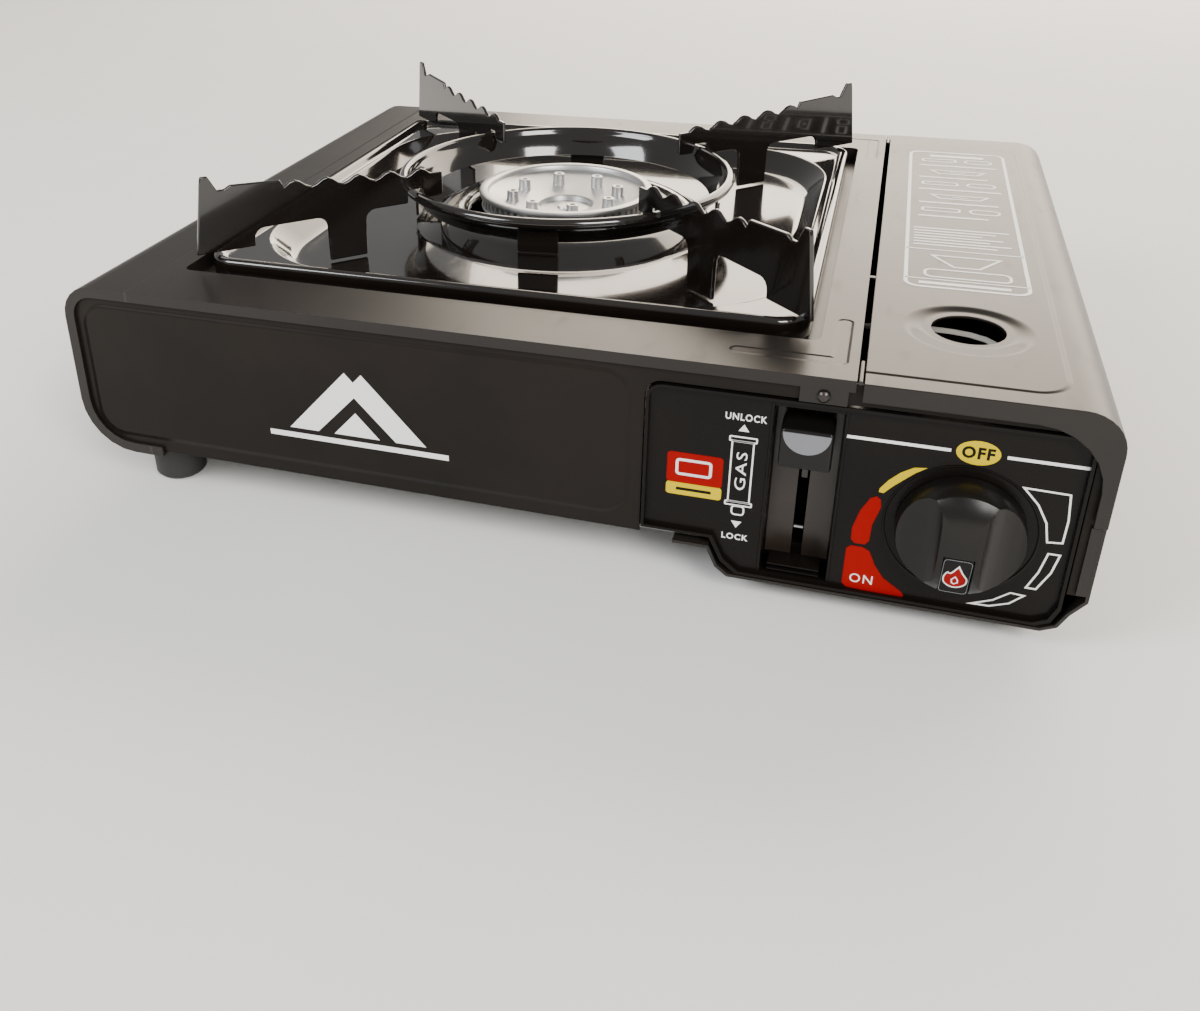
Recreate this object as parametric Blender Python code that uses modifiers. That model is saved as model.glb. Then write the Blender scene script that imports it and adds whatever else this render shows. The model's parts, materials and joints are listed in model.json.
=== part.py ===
"""Portable gas camping stove: a sheet-metal casing with a square enamelled tray, a wind ring and four
pan arms, an aluminium burner, a canister bay under a side-hinged lid, and a control panel.

Metres, +Z up. The origin is at the bottom centre, the front faces -Y and the canister bay is at +X.
"""

import math

import bmesh
import bpy
from mathutils import Matrix, Vector

MM = 0.001
GAP = 0.3 * MM  # clearance that touching pieces keep

# Casing
BODY_WIDTH = 343 * MM
BODY_DEPTH = 282 * MM
BODY_TOP = 82 * MM
BODY_BOTTOM = 17 * MM
FRONT = -BODY_DEPTH / 2
BACK = BODY_DEPTH / 2
LEFT = -BODY_WIDTH / 2
RIGHT = BODY_WIDTH / 2
SHEET = 1.0 * MM
TOP_RADIUS = 12 * MM
LOW_RADIUS = 20 * MM
RIM_WIDTH = 3.8 * MM
LIP_LENGTH = 32 * MM
VENTS = 5
VENT_PITCH = 40 * MM
VENT_LENGTH = 28 * MM
VENT_HEIGHT = 6 * MM
VENT_Z = 48 * MM
SEAM_X = RIGHT - 70.5 * MM
SEAM_GAP = 2 * MM

# Canister bay and lid
BAY_AXIS_X = RIGHT - 40.5 * MM
BAY_AXIS_Z = 45.2 * MM
BAY_FLOOR = 7.5 * MM
BAY_STEP_X = RIGHT - 110.5 * MM
BAY_WALL_TOP = 45.5 * MM
CANISTER_RADIUS = 33.5 * MM
PARTITION_X = SEAM_X - 5 * MM
PARTITION_FRONT = FRONT + 75 * MM
LID_OVERHANG = 1.3 * MM
LID_FLANGE = 6 * MM
LID_BOTTOM = 46 * MM
WINDOW_RADIUS = 11 * MM
WINDOW_Y = FRONT + 46.5 * MM
HINGE_PIN_RADIUS = 0.7 * MM
HINGE_PIN_LENGTH = 14 * MM
HINGE_Z = BODY_TOP - SHEET / 2
CRADLES_Y = (FRONT + 96 * MM, BACK - 51 * MM)
HEAT_Y = 20 * MM
HEAT_WIDTH = 30 * MM
HEAT_SHEET = 0.9 * MM

# Tray, ring, arms
TRAY_X = LEFT + 147 * MM
TRAY_Y = -1.2 * MM
RECESS_X = 225 * MM
RECESS_Y = 229 * MM
RECESS_DEPTH = 6 * MM
LEDGE = 10 * MM
TRAY_HALF = 108.5 * MM
TRAY_CORNER = 12 * MM
TRAY_RIM = 3 * MM
TRAY_WELL = 8 * MM
TRAY_SHEET = 0.8 * MM
BOSS_RADIUS = 50 * MM
TRAY_HOLE = 39 * MM
RING_RADIUS = 69 * MM
RING_FOOT_RADIUS = 59.5 * MM
RING_TOP = 14.4 * MM
RING_BOTTOM = 3.4 * MM
RING_LEG_WIDTH = 15.5 * MM
RING_TURN = 6
ARM_SHEET = 1.6 * MM
ARM_OUTER = 154.5 * MM
ARM_HORN = 32.4 * MM
ARM_SEAT = 26.5 * MM
ARM_UNDERSIDE = 10.3 * MM
ARM_INNER = 56 * MM
SCALLOPS = 5
SCALLOP_PITCH = 12.6 * MM
SCALLOP_DEPTH = 3.0 * MM
SCALLOP_FALL = 3.6 * MM

# Burner
BURNER_TOP = BODY_TOP + 6.2 * MM
BURNER_RADIUS = 36 * MM
BURNER_SEAT = BURNER_TOP - 12.6 * MM
CUP_RADIUS = BURNER_RADIUS - 6 * MM
CUP_BOTTOM = 47.5 * MM
STAND_WIDTH = 44 * MM
STAND_DEPTH = 30 * MM
STAND_FOOT = 16 * MM
STAND_SHEET = 1.2 * MM
TUBE_RADIUS = 8 * MM
TUBE_Z = 58 * MM
TUBE_LENGTH = 67 * MM
BURNER_AT = Vector((TRAY_X, TRAY_Y))
TUBE_DIRECTION = Vector((0.842, -0.539)).normalized()
ELECTRODE_TURN = 10

# Control panel
PANEL_LEFT = RIGHT - 132 * MM
PANEL_RIGHT = RIGHT - 6.5 * MM
PANEL_TOP = BODY_TOP - 9 * MM
PANEL_BOTTOM = BAY_FLOOR + 1.4 * MM
PANEL_STEP_Z = BODY_BOTTOM + 4 * MM
PANEL_STEP_X = BAY_STEP_X + 0.5 * MM
PANEL_RECESS = 2 * MM
PANEL_WALL = 2.5 * MM
PANEL_RIM = 1.0 * MM
PANEL_CORNER = 5 * MM
CHANNEL_X = BAY_AXIS_X - 42.9 * MM
CHANNEL_WIDTH = 20.4 * MM
CHANNEL_TOP = PANEL_TOP - 3 * MM
CHANNEL_DEPTH = 10.5 * MM
SLOT_WIDTH = 3.4 * MM
SLOT_LOW = 16 * MM
SLOT_HIGH = 66 * MM
KNOB_X = BAY_AXIS_X + 3 * MM
KNOB_Z = BAY_AXIS_Z - 8.2 * MM
KNOB_RADIUS = 18.2 * MM
KNOB_HEIGHT = 13 * MM
KNOB_BAR = 9.8 * MM
SPINDLE_RADIUS = 3 * MM
SPINDLE_CLEARANCE = 0.4 * MM
SPINDLE_REAR = FRONT + 40 * MM
SCREW_X = CHANNEL_X + 3.3 * MM
SCREW_Z = BODY_TOP - 6 * MM
SCREW_SHANK = 1.1 * MM
SCREW_HEAD = 1.9 * MM

# Lock lever and collar fork
LEVER_SHEET = 1.8 * MM
LEVER_TRAVEL = 28 * MM
FORK_TRAVEL = 4 * MM
CAP_WIDTH = 15.4 * MM
CAP_LOW = 51.4 * MM
CAP_HIGH = 64.8 * MM
CAP_FRONT = FRONT - 2 * MM
CAM_PIN_RADIUS = 1.5 * MM
CAM_PIN_Y = FRONT + 35 * MM
CAM_PIN_Z = 43 * MM
FORK_Y = FRONT + 66 * MM
FORK_SHEET = 2 * MM

# Regulator
REGULATOR_REAR = FRONT + 57 * MM
REGULATOR_FRONT = FRONT + 23 * MM
REGULATOR_RADIUS = 15 * MM
REGULATOR_LEFT = BAY_AXIS_X - 19 * MM
REGULATOR_LOW = 29 * MM
REGULATOR_HIGH = 60.5 * MM
BRACKET_SHEET = 1.2 * MM
PIEZO_X = BAY_AXIS_X + 25 * MM
PIEZO_Z = 62 * MM

# Feet
FOOT_X = RIGHT - 25.5 * MM
FOOT_Y = BACK - 19 * MM
FOOT_RADIUS = 10 * MM
FOOT_NECK = 3.1 * MM
FOOT_HOLE = 3.5 * MM
FOOT_HEAD = 5.2 * MM


# What a piece is made of: colour, roughness, metallic.
LOOKS = {
    "painted": ((0.030, 0.028, 0.026), 0.38, 0.3),
    "enamel": ((0.008, 0.008, 0.009), 0.08, 0.0),
    "aluminium": ((0.72, 0.72, 0.71), 0.35, 1.0),
    "steel": ((0.55, 0.54, 0.52), 0.35, 1.0),
    "brass": ((0.70, 0.50, 0.22), 0.30, 1.0),
    "gloss": ((0.012, 0.011, 0.011), 0.15, 0.0),
    "cap": ((0.33, 0.34, 0.36), 0.40, 0.0),
    "rubber": ((0.02, 0.02, 0.02), 0.70, 0.0),
    "ceramic": ((0.85, 0.84, 0.80), 0.30, 0.0),
    "wire": ((0.70, 0.68, 0.64), 0.50, 0.0),
}

# Each plane's u and v directions in the world; an outline drawn on u, v is extruded along u x v.
PLANES = {
    "XY": (Vector((1, 0, 0)), Vector((0, 1, 0))),
    "XZ": (Vector((1, 0, 0)), Vector((0, 0, 1))),
    "YZ": (Vector((0, 1, 0)), Vector((0, 0, 1))),
}


# ---------------------------------------------------------------- outlines


def arc(centre, radius, start, end, steps):
    """Points of an arc, angles in degrees, both ends included."""
    points = []
    for step in range(steps + 1):
        angle = math.radians(start + (end - start) * step / steps)
        points.append((centre[0] + radius * math.cos(angle), centre[1] + radius * math.sin(angle)))
    return points


def rounded(left, low, right, high, radius, steps=5):
    """Outline of a rectangle with round corners."""
    outline = arc((right - radius, high - radius), radius, 0, 90, steps)
    outline += arc((left + radius, high - radius), radius, 90, 180, steps)
    outline += arc((left + radius, low + radius), radius, 180, 270, steps)
    outline += arc((right - radius, low + radius), radius, 270, 360, steps)
    return outline


def offset_path(points, distance):
    """An open path moved sideways to its left by a distance, with mitred corners."""
    path = [Vector(point) for point in points]
    normals = []
    for first, second in zip(path, path[1:]):
        along = (second - first).normalized()
        normals.append(Vector((-along.y, along.x)))
    moved = [path[0] + normals[0] * distance]
    for index in range(1, len(path) - 1):
        mitre = (normals[index - 1] + normals[index]).normalized()
        moved.append(path[index] + mitre * (distance / mitre.dot(normals[index])))
    moved.append(path[-1] + normals[-1] * distance)
    return [tuple(point) for point in moved]


def strip_outline(points, thickness):
    """Closed outline of a bent strip whose material lies to the left of the path."""
    return list(points) + offset_path(points, thickness)[::-1]


# ---------------------------------------------------------------- objects


def clear_scene():
    """Remove what the file holds already."""
    for item in list(bpy.data.objects):
        bpy.data.objects.remove(item, do_unlink=True)


clear_scene()
PARTS = bpy.data.collections.new("camping_stove")
CUTTERS = bpy.data.collections.new("cutters")
bpy.context.scene.collection.children.link(PARTS)
bpy.context.scene.collection.children.link(CUTTERS)


def link(name, mesh):
    """A new object in the parts' collection."""
    item = bpy.data.objects.new(name, mesh)
    PARTS.objects.link(item)
    return item


def dress(item, look):
    """Give a finished piece its own material."""
    colour, roughness, metallic = LOOKS[look]
    material = bpy.data.materials.new(item.name)
    material.use_nodes = True
    shader = material.node_tree.nodes["Principled BSDF"]
    shader.inputs["Base Color"].default_value = (*colour, 1.0)
    shader.inputs["Roughness"].default_value = roughness
    shader.inputs["Metallic"].default_value = metallic
    item.data.materials.clear()
    item.data.materials.append(material)
    return item


def as_tool(item):
    """Make an object a helper that shapes another one."""
    PARTS.objects.unlink(item)
    CUTTERS.objects.link(item)
    item.hide_render = True
    item.display_type = "WIRE"
    return item


def combine(target, tool, operation):
    """Add one exact Boolean to a piece."""
    as_tool(tool)
    step = target.modifiers.new(f"{operation.lower()} {tool.name}", "BOOLEAN")
    step.operation = operation
    step.solver = "EXACT"
    step.object = tool
    return target


def cut(target, *tools):
    """Take tools away from a piece."""
    for tool in tools:
        combine(target, tool, "DIFFERENCE")
    return target


def join(target, *tools):
    """Add tools to a piece."""
    for tool in tools:
        combine(target, tool, "UNION")
    return target


def box(name, low, high):
    """A box from its two corners."""
    work = bmesh.new()
    bmesh.ops.create_cube(work, size=1.0)
    size = Vector(high) - Vector(low)
    bmesh.ops.scale(work, vec=size, verts=work.verts)
    bmesh.ops.translate(work, vec=(Vector(high) + Vector(low)) / 2, verts=work.verts)
    mesh = bpy.data.meshes.new(name)
    work.to_mesh(mesh)
    work.free()
    return link(name, mesh)


def prism(name, outline, plane, start, end):
    """A flat outline filled and extruded between two places along the plane's normal."""
    curve = bpy.data.curves.new(name, "CURVE")
    curve.dimensions = "2D"
    curve.fill_mode = "BOTH"
    curve.extrude = abs(end - start) / 2
    spline = curve.splines.new("POLY")
    spline.points.add(len(outline) - 1)
    for point, place in zip(spline.points, outline):
        point.co = (place[0], place[1], 0.0, 1.0)
    spline.use_cyclic_u = True
    flat = link(f"{name} outline", curve)
    graph = bpy.context.evaluated_depsgraph_get()
    mesh = bpy.data.meshes.new_from_object(flat.evaluated_get(graph))
    bpy.data.objects.remove(flat, do_unlink=True)
    across, up = PLANES[plane] if isinstance(plane, str) else plane
    normal = across.cross(up)
    turn = Matrix((across, up, normal)).transposed().to_4x4()
    work = bmesh.new()
    work.from_mesh(mesh)
    bmesh.ops.remove_doubles(work, verts=work.verts, dist=1e-6)
    bmesh.ops.translate(work, vec=(0, 0, (start + end) / 2), verts=work.verts)
    bmesh.ops.transform(work, matrix=turn, verts=work.verts)
    bmesh.ops.recalc_face_normals(work, faces=work.faces)
    work.to_mesh(mesh)
    work.free()
    return link(name, mesh)


def turned(name, profile, place, axis=(0, 0, 1), steps=32):
    """A profile of radius and height turned about an axis: its outer side runs from top to bottom."""
    mesh = bpy.data.meshes.new(name)
    work = bmesh.new()
    ring = profile[0] == profile[-1]
    points = [work.verts.new((radius, 0.0, height)) for radius, height in profile[:len(profile) - ring]]
    for first, second in zip(points, points[1:] + points[:1] * ring):
        work.edges.new((first, second))
    work.to_mesh(mesh)
    work.free()
    item = link(name, mesh)
    item.location = place
    item.rotation_euler = Vector((0, 0, 1)).rotation_difference(Vector(axis)).to_euler()
    screw = item.modifiers.new("turn", "SCREW")
    screw.axis = "Z"
    screw.steps = steps
    screw.render_steps = steps
    screw.use_merge_vertices = True
    screw.merge_threshold = 1e-6
    return item


def rod(name, radius, start, end, steps=16):
    """A round bar between two points."""
    start = Vector(start)
    end = Vector(end)
    length = (end - start).length
    return turned(name, [(0, length), (radius, length), (radius, 0), (0, 0)], start, end - start, steps)


def pipe(name, points, radius, resolution=2):
    """A tube or wire through points read from a smooth curve."""
    curve = bpy.data.curves.new(name, "CURVE")
    curve.dimensions = "3D"
    curve.bevel_depth = radius
    curve.bevel_resolution = resolution
    curve.use_fill_caps = True
    spline = curve.splines.new("POLY")
    spline.points.add(len(points) - 1)
    for point, place in zip(spline.points, points):
        point.co = (*place, 1.0)
    return link(name, curve)


def smooth_route(places, per_span=6):
    """Points along a Catmull-Rom curve through the given places."""
    route = [Vector(place) for place in places]
    route = [2 * route[0] - route[1]] + route + [2 * route[-1] - route[-2]]
    points = []
    for index in range(1, len(route) - 2):
        before, start, end, after = route[index - 1:index + 3]
        for step in range(per_span):
            t = step / per_span
            bend = 2 * before - 5 * start + 4 * end - after
            twist = 3 * start - before - 3 * end + after
            points.append(start + 0.5 * ((end - before) * t + bend * t**2 + twist * t**3))
    points.append(route[-2])
    return points


def axis_empty(name, place):
    """An empty on a joint's axis, which the moving pieces hang from."""
    empty = bpy.data.objects.new(name, None)
    empty.location = place
    PARTS.objects.link(empty)
    return empty


def hang(item, empty):
    """Parent a piece to an empty without moving it."""
    item.parent = empty
    item.location = Vector(item.location) - Vector(empty.location)
    return item


# ---------------------------------------------------------------- casing


def shell_outline(inset, low_corner, seam):
    """The casing's section: top, left side and bottom lip, moved inwards by an inset."""
    top = BODY_TOP - inset
    outline = [(seam, top)]
    outline += arc((LEFT + TOP_RADIUS, BODY_TOP - TOP_RADIUS), TOP_RADIUS - inset, 90, 180, 6)
    outline += arc((LEFT + LOW_RADIUS, BODY_BOTTOM + LOW_RADIUS), LOW_RADIUS - inset, 180, 270, 6)
    return outline + low_corner


def main_shell():
    """Top, left side and lip in one pressed sheet, with the tray's recess and the front tab."""
    edge = SEAM_X - SEAM_GAP / 2
    past = edge + 8 * MM
    lip_end = LEFT + LIP_LENGTH
    hidden = BODY_BOTTOM + 8 * MM
    solid = shell_outline(0, [(lip_end, BODY_BOTTOM), (lip_end, hidden), (edge, hidden)], edge)
    shell = prism("main_shell", solid, "XZ", -FRONT, -BACK)
    cavity = shell_outline(SHEET, [(past, BODY_BOTTOM + SHEET)], past)
    mouth = shell_outline(RIM_WIDTH, [(past, BODY_BOTTOM + RIM_WIDTH)], past)
    cut(shell, prism("shell cavity", cavity, "XZ", -FRONT - SHEET, -BACK + SHEET))
    cut(shell, prism("shell mouth", mouth, "XZ", -FRONT + SHEET, -BACK - SHEET))
    half_x = RECESS_X / 2
    half_y = RECESS_Y / 2
    floor = BODY_TOP - RECESS_DEPTH
    join(shell, box("recess block", (TRAY_X - half_x - SHEET, TRAY_Y - half_y - SHEET, floor - SHEET),
                    (TRAY_X + half_x + SHEET, TRAY_Y + half_y + SHEET, BODY_TOP - SHEET / 2)))
    pocket = rounded(TRAY_X - half_x, TRAY_Y - half_y, TRAY_X + half_x, TRAY_Y + half_y, 3 * MM, 3)
    opening = rounded(TRAY_X - half_x + LEDGE, TRAY_Y - half_y + LEDGE,
                      TRAY_X + half_x - LEDGE, TRAY_Y + half_y - LEDGE, 12 * MM, 4)
    cut(shell, prism("recess pocket", pocket, "XY", floor, BODY_TOP + SHEET))
    cut(shell, prism("recess opening", opening, "XY", floor - 3 * SHEET, BODY_TOP + SHEET))
    join(shell, box("screw tab", (SCREW_X - 6.8 * MM, FRONT + 0.05 * MM, SCREW_Z - 2.6 * MM),
                    (SCREW_X + 6.8 * MM, FRONT + SHEET - 0.05 * MM, BODY_TOP - RIM_WIDTH + 1 * MM)))
    cut(shell, rod("tab hole", SCREW_SHANK + GAP, (SCREW_X, FRONT - SHEET, SCREW_Z),
                   (SCREW_X, FRONT + 2 * SHEET, SCREW_Z)))
    for side in (-1, 1):
        cut(shell, rod(f"lip hole {side}", FOOT_HOLE, (-FOOT_X, side * FOOT_Y, BODY_BOTTOM - SHEET),
                       (-FOOT_X, side * FOOT_Y, BODY_BOTTOM + 2 * SHEET)))
    return dress(shell, "painted")


def bezel_screw():
    """The bright screw through the front tab into the front panel."""
    head = 1.2 * MM
    profile = [(0, head), (SCREW_HEAD * 0.6, head), (SCREW_HEAD, head * 0.4), (SCREW_HEAD, 0),
               (SCREW_SHANK, 0), (SCREW_SHANK, -4 * SHEET), (0, -4 * SHEET)]
    return dress(turned("bezel_screw", profile, (SCREW_X, FRONT - GAP, SCREW_Z), (0, -1, 0), 16), "steel")


def panel_inset():
    """How far the end panels stand in from the casing's outer faces."""
    return SHEET + 2 * GAP


def front_panel():
    """The front sheet behind the casing's rim, cut away around the control panel."""
    inset = panel_inset()
    near = FRONT + SHEET + GAP
    left = PANEL_LEFT - 0.5 * MM
    right = PANEL_RIGHT + 0.5 * MM
    top = PANEL_TOP + 0.5 * MM
    low = BODY_BOTTOM + inset
    outline = shell_outline(inset, [(left, low), (left, top - PANEL_CORNER)], RIGHT - TOP_RADIUS)
    outline += arc((left + PANEL_CORNER, top - PANEL_CORNER), PANEL_CORNER, 180, 90, 4)[1:]
    outline += arc((right - PANEL_CORNER, top - PANEL_CORNER), PANEL_CORNER, 90, 0, 4)
    outline += [(right, BODY_BOTTOM + 4 * MM), (RIGHT - inset, BODY_BOTTOM + 4 * MM)]
    outline += arc((RIGHT - TOP_RADIUS, BODY_TOP - TOP_RADIUS), TOP_RADIUS - inset, 0, 90, 6)[:-1]
    panel = prism("front_panel", outline, "XZ", -near, -near - SHEET)
    cut(panel, rod("panel screw hole", SCREW_SHANK + GAP, (SCREW_X, near - SHEET, SCREW_Z),
                   (SCREW_X, near + 2 * SHEET, SCREW_Z)))
    return dress(panel, "painted")


def bay_path():
    """Section of the bay's bottom and right side, outer face, from the step to the wall's top."""
    return [(BAY_STEP_X - 11 * MM, BODY_BOTTOM), (BAY_STEP_X, BODY_BOTTOM),
            (BAY_STEP_X + 3 * MM, BAY_FLOOR + 3 * MM), (BAY_STEP_X + 7 * MM, BAY_FLOOR),
            (RIGHT - 11 * MM, BAY_FLOOR), (RIGHT - 6.5 * MM, BAY_FLOOR + 2.2 * MM),
            (RIGHT - 4 * MM, BAY_FLOOR + 7.2 * MM), (RIGHT, BODY_BOTTOM + 3 * MM), (RIGHT, BAY_WALL_TOP)]


def bay_shell():
    """Bottom and right side of the canister bay, with the front rim on the right."""
    shell = prism("bay_shell", strip_outline(bay_path(), SHEET), "XZ", -FRONT, -BACK)
    join(shell, box("bay rim", (RIGHT - RIM_WIDTH, FRONT + 0.05 * MM, BODY_BOTTOM + 5 * MM),
                    (RIGHT - SHEET / 2, FRONT + SHEET, BAY_WALL_TOP - 0.2 * MM)))
    for side in (-1, 1):
        cut(shell, rod(f"bay hole {side}", FOOT_HOLE, (FOOT_X, side * FOOT_Y, BAY_FLOOR - SHEET),
                       (FOOT_X, side * FOOT_Y, BAY_FLOOR + 2 * SHEET)))
    return dress(shell, "painted")


def rear_panel():
    """The back sheet, with a row of vent slots behind the burner."""
    inset = panel_inset()
    far = BACK - SHEET - GAP
    low = offset_path(bay_path(), inset)[1:-1]
    outline = shell_outline(inset, low, RIGHT - TOP_RADIUS)
    outline += arc((RIGHT - TOP_RADIUS, BODY_TOP - TOP_RADIUS), TOP_RADIUS - inset, 0, 90, 6)[:-1]
    panel = prism("rear_panel", outline, "XZ", -far + SHEET, -far)
    for index in range(VENTS):
        middle = TRAY_X + (index - (VENTS - 1) / 2) * VENT_PITCH
        slot = rounded(middle - VENT_LENGTH / 2, VENT_Z, middle + VENT_LENGTH / 2, VENT_Z + VENT_HEIGHT,
                       VENT_HEIGHT / 2.2, 3)
        cut(panel, prism(f"vent {index}", slot, "XZ", -far + 2 * SHEET, -far - SHEET))
    return dress(panel, "painted")


def base_plate():
    """The bottom sheet under the burner, resting on the casing's lip and the bay's edge."""
    low = BODY_BOTTOM + SHEET + GAP
    plate = box("base_plate", (LEFT + LOW_RADIUS + 0.5 * MM, FRONT + 4 * MM, low),
                (BAY_STEP_X - 3 * MM, BACK - 4 * MM, low + SHEET))
    for side in (-1, 1):
        cut(plate, rod(f"base hole {side}", FOOT_HOLE, (-FOOT_X, side * FOOT_Y, low - SHEET),
                       (-FOOT_X, side * FOOT_Y, low + 2 * SHEET)))
    return dress(plate, "steel")


def foot(name, x, y, seat, clamp_top):
    """A rubber foot pushed through its sheet: a disc below, a neck and a head above."""
    neck_top = clamp_top + GAP
    disc_top = seat - GAP
    profile = [(0, neck_top + 2.4 * MM), (FOOT_HEAD * 0.7, neck_top + 2.4 * MM),
               (FOOT_HEAD, neck_top + 1 * MM), (FOOT_HEAD, neck_top), (FOOT_NECK, neck_top),
               (FOOT_NECK, disc_top), (FOOT_RADIUS, disc_top), (FOOT_RADIUS - 0.4 * MM, 1.6 * MM),
               (FOOT_RADIUS - 2 * MM, 0), (0, 0)]
    return dress(turned(name, profile, (x, y, 0), steps=24), "rubber")


def feet():
    """Four feet: the left pair through lip and base, the right pair through the bay's floor."""
    base_top = BODY_BOTTOM + 2 * SHEET + GAP
    for side, label in ((-1, "front"), (1, "rear")):
        foot(f"foot_{label}_left", -FOOT_X, side * FOOT_Y, BODY_BOTTOM, base_top)
        foot(f"foot_{label}_right", FOOT_X, side * FOOT_Y, BAY_FLOOR, BAY_FLOOR + SHEET)


def partition():
    """The wall between burner and canister bay, notched at the foot for the heat plate."""
    floor = BAY_FLOOR + SHEET + GAP
    wall = box("partition", (PARTITION_X, PARTITION_FRONT, floor),
               (PARTITION_X + SHEET, BACK - 4 * MM, BODY_TOP - SHEET - 2 * GAP))
    cut(wall, box("plate notch", (PARTITION_X - SHEET, HEAT_Y - HEAT_WIDTH / 2 - 1 * MM, floor - 2 * MM),
                  (PARTITION_X + 2 * SHEET, HEAT_Y + HEAT_WIDTH / 2 + 1 * MM, floor + 4 * MM)))
    return dress(wall, "steel")


def heat_plate():
    """The bent strip that leads burner warmth under the canister."""
    low = BAY_FLOOR + SHEET + 0.6 * MM
    riser = BAY_STEP_X + 12 * MM
    path = [(RIGHT - 14 * MM, low), (riser, low), (riser, 60 * MM), (TRAY_X + CUP_RADIUS + 14 * MM, 60 * MM)]
    strip = prism("heat_plate", strip_outline(path, -HEAT_SHEET), "XZ", -HEAT_Y - HEAT_WIDTH / 2,
                  -HEAT_Y + HEAT_WIDTH / 2)
    return dress(strip, "aluminium")


def cradle(name, y):
    """A rib with a round saddle that the canister lies in."""
    floor = BAY_FLOOR + SHEET + GAP
    high = 26 * MM
    radius = CANISTER_RADIUS + 0.7 * MM
    reach = math.degrees(math.asin((BAY_AXIS_Z - high) / radius))
    left = PARTITION_X + SHEET + 3 * MM
    right = RIGHT - 7 * MM
    outline = [(left, floor), (right - 5 * MM, floor), (right, floor + 5 * MM), (right, high)]
    outline += arc((BAY_AXIS_X, BAY_AXIS_Z), radius, -reach, -180 + reach, 12)
    outline += [(left, high)]
    return dress(prism(name, outline, "XZ", -y - 1 * MM, -y + 1 * MM), "steel")


# ---------------------------------------------------------------- lid


def lid():
    """The lid over the bay: top, rounded right side and two end flanges, with the round window."""
    edge = SEAM_X + SEAM_GAP / 2
    near = FRONT - LID_OVERHANG
    far = BACK + LID_OVERHANG
    centre = (RIGHT - TOP_RADIUS, BODY_TOP - TOP_RADIUS)
    inside = edge - 5 * MM
    under = LID_BOTTOM - 5 * MM
    solid = [(edge, LID_BOTTOM), (RIGHT, LID_BOTTOM)] + arc(centre, TOP_RADIUS, 0, 90, 8) + [(edge, BODY_TOP)]
    cavity = [(inside, under), (RIGHT - SHEET, under)] + arc(centre, TOP_RADIUS - SHEET, 0, 90, 8)
    cavity += [(inside, BODY_TOP - SHEET)]
    bend = 19 * MM
    side = RIGHT - RIM_WIDTH
    mouth = [(inside, under), (side, under)]
    mouth += arc((side - bend, BODY_TOP - LID_FLANGE - bend), bend, 0, 90, 6)
    mouth += [(inside, BODY_TOP - LID_FLANGE)]
    cover = prism("lid", solid, "XZ", -near, -far)
    cut(cover, prism("lid cavity", cavity, "XZ", -near - SHEET, -far + SHEET))
    cut(cover, prism("lid mouth", mouth, "XZ", -near + SHEET, -far - SHEET))
    cut(cover, rod("window hole", WINDOW_RADIUS, (BAY_AXIS_X, WINDOW_Y, BODY_TOP - 3 * SHEET),
                   (BAY_AXIS_X, WINDOW_Y, BODY_TOP + SHEET), 32))
    return hang(dress(cover, "painted"), axis_empty("lid_axis", (SEAM_X, 0, HINGE_Z)))


def hinge_pins():
    """Two steel pins lying in the seam, one at each end of the lid."""
    for side, label in ((-1, "front"), (1, "rear")):
        outer = side * (BACK - 0.1 * MM)
        pin = rod(f"lid_hinge_pin_{label}", HINGE_PIN_RADIUS, (SEAM_X, outer, HINGE_Z),
                  (SEAM_X, outer - side * HINGE_PIN_LENGTH, HINGE_Z), 12)
        dress(pin, "steel")


# ---------------------------------------------------------------- tray, ring and arms


def square_loop(work, half, corner, height):
    """Corner points of a rounded square about the tray's centre, ten to a corner."""
    points = []
    per_corner = 9
    for quarter in range(4):
        turn = math.radians(90 * quarter)
        for step in range(per_corner):
            angle = math.radians((step + 0.5) * 90 / per_corner)
            x = half - corner + corner * math.cos(angle)
            y = half - corner + corner * math.sin(angle)
            places = (x * math.cos(turn) - y * math.sin(turn), x * math.sin(turn) + y * math.cos(turn))
            points.append(work.verts.new((TRAY_X + places[0], TRAY_Y + places[1], height)))
    return points


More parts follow.
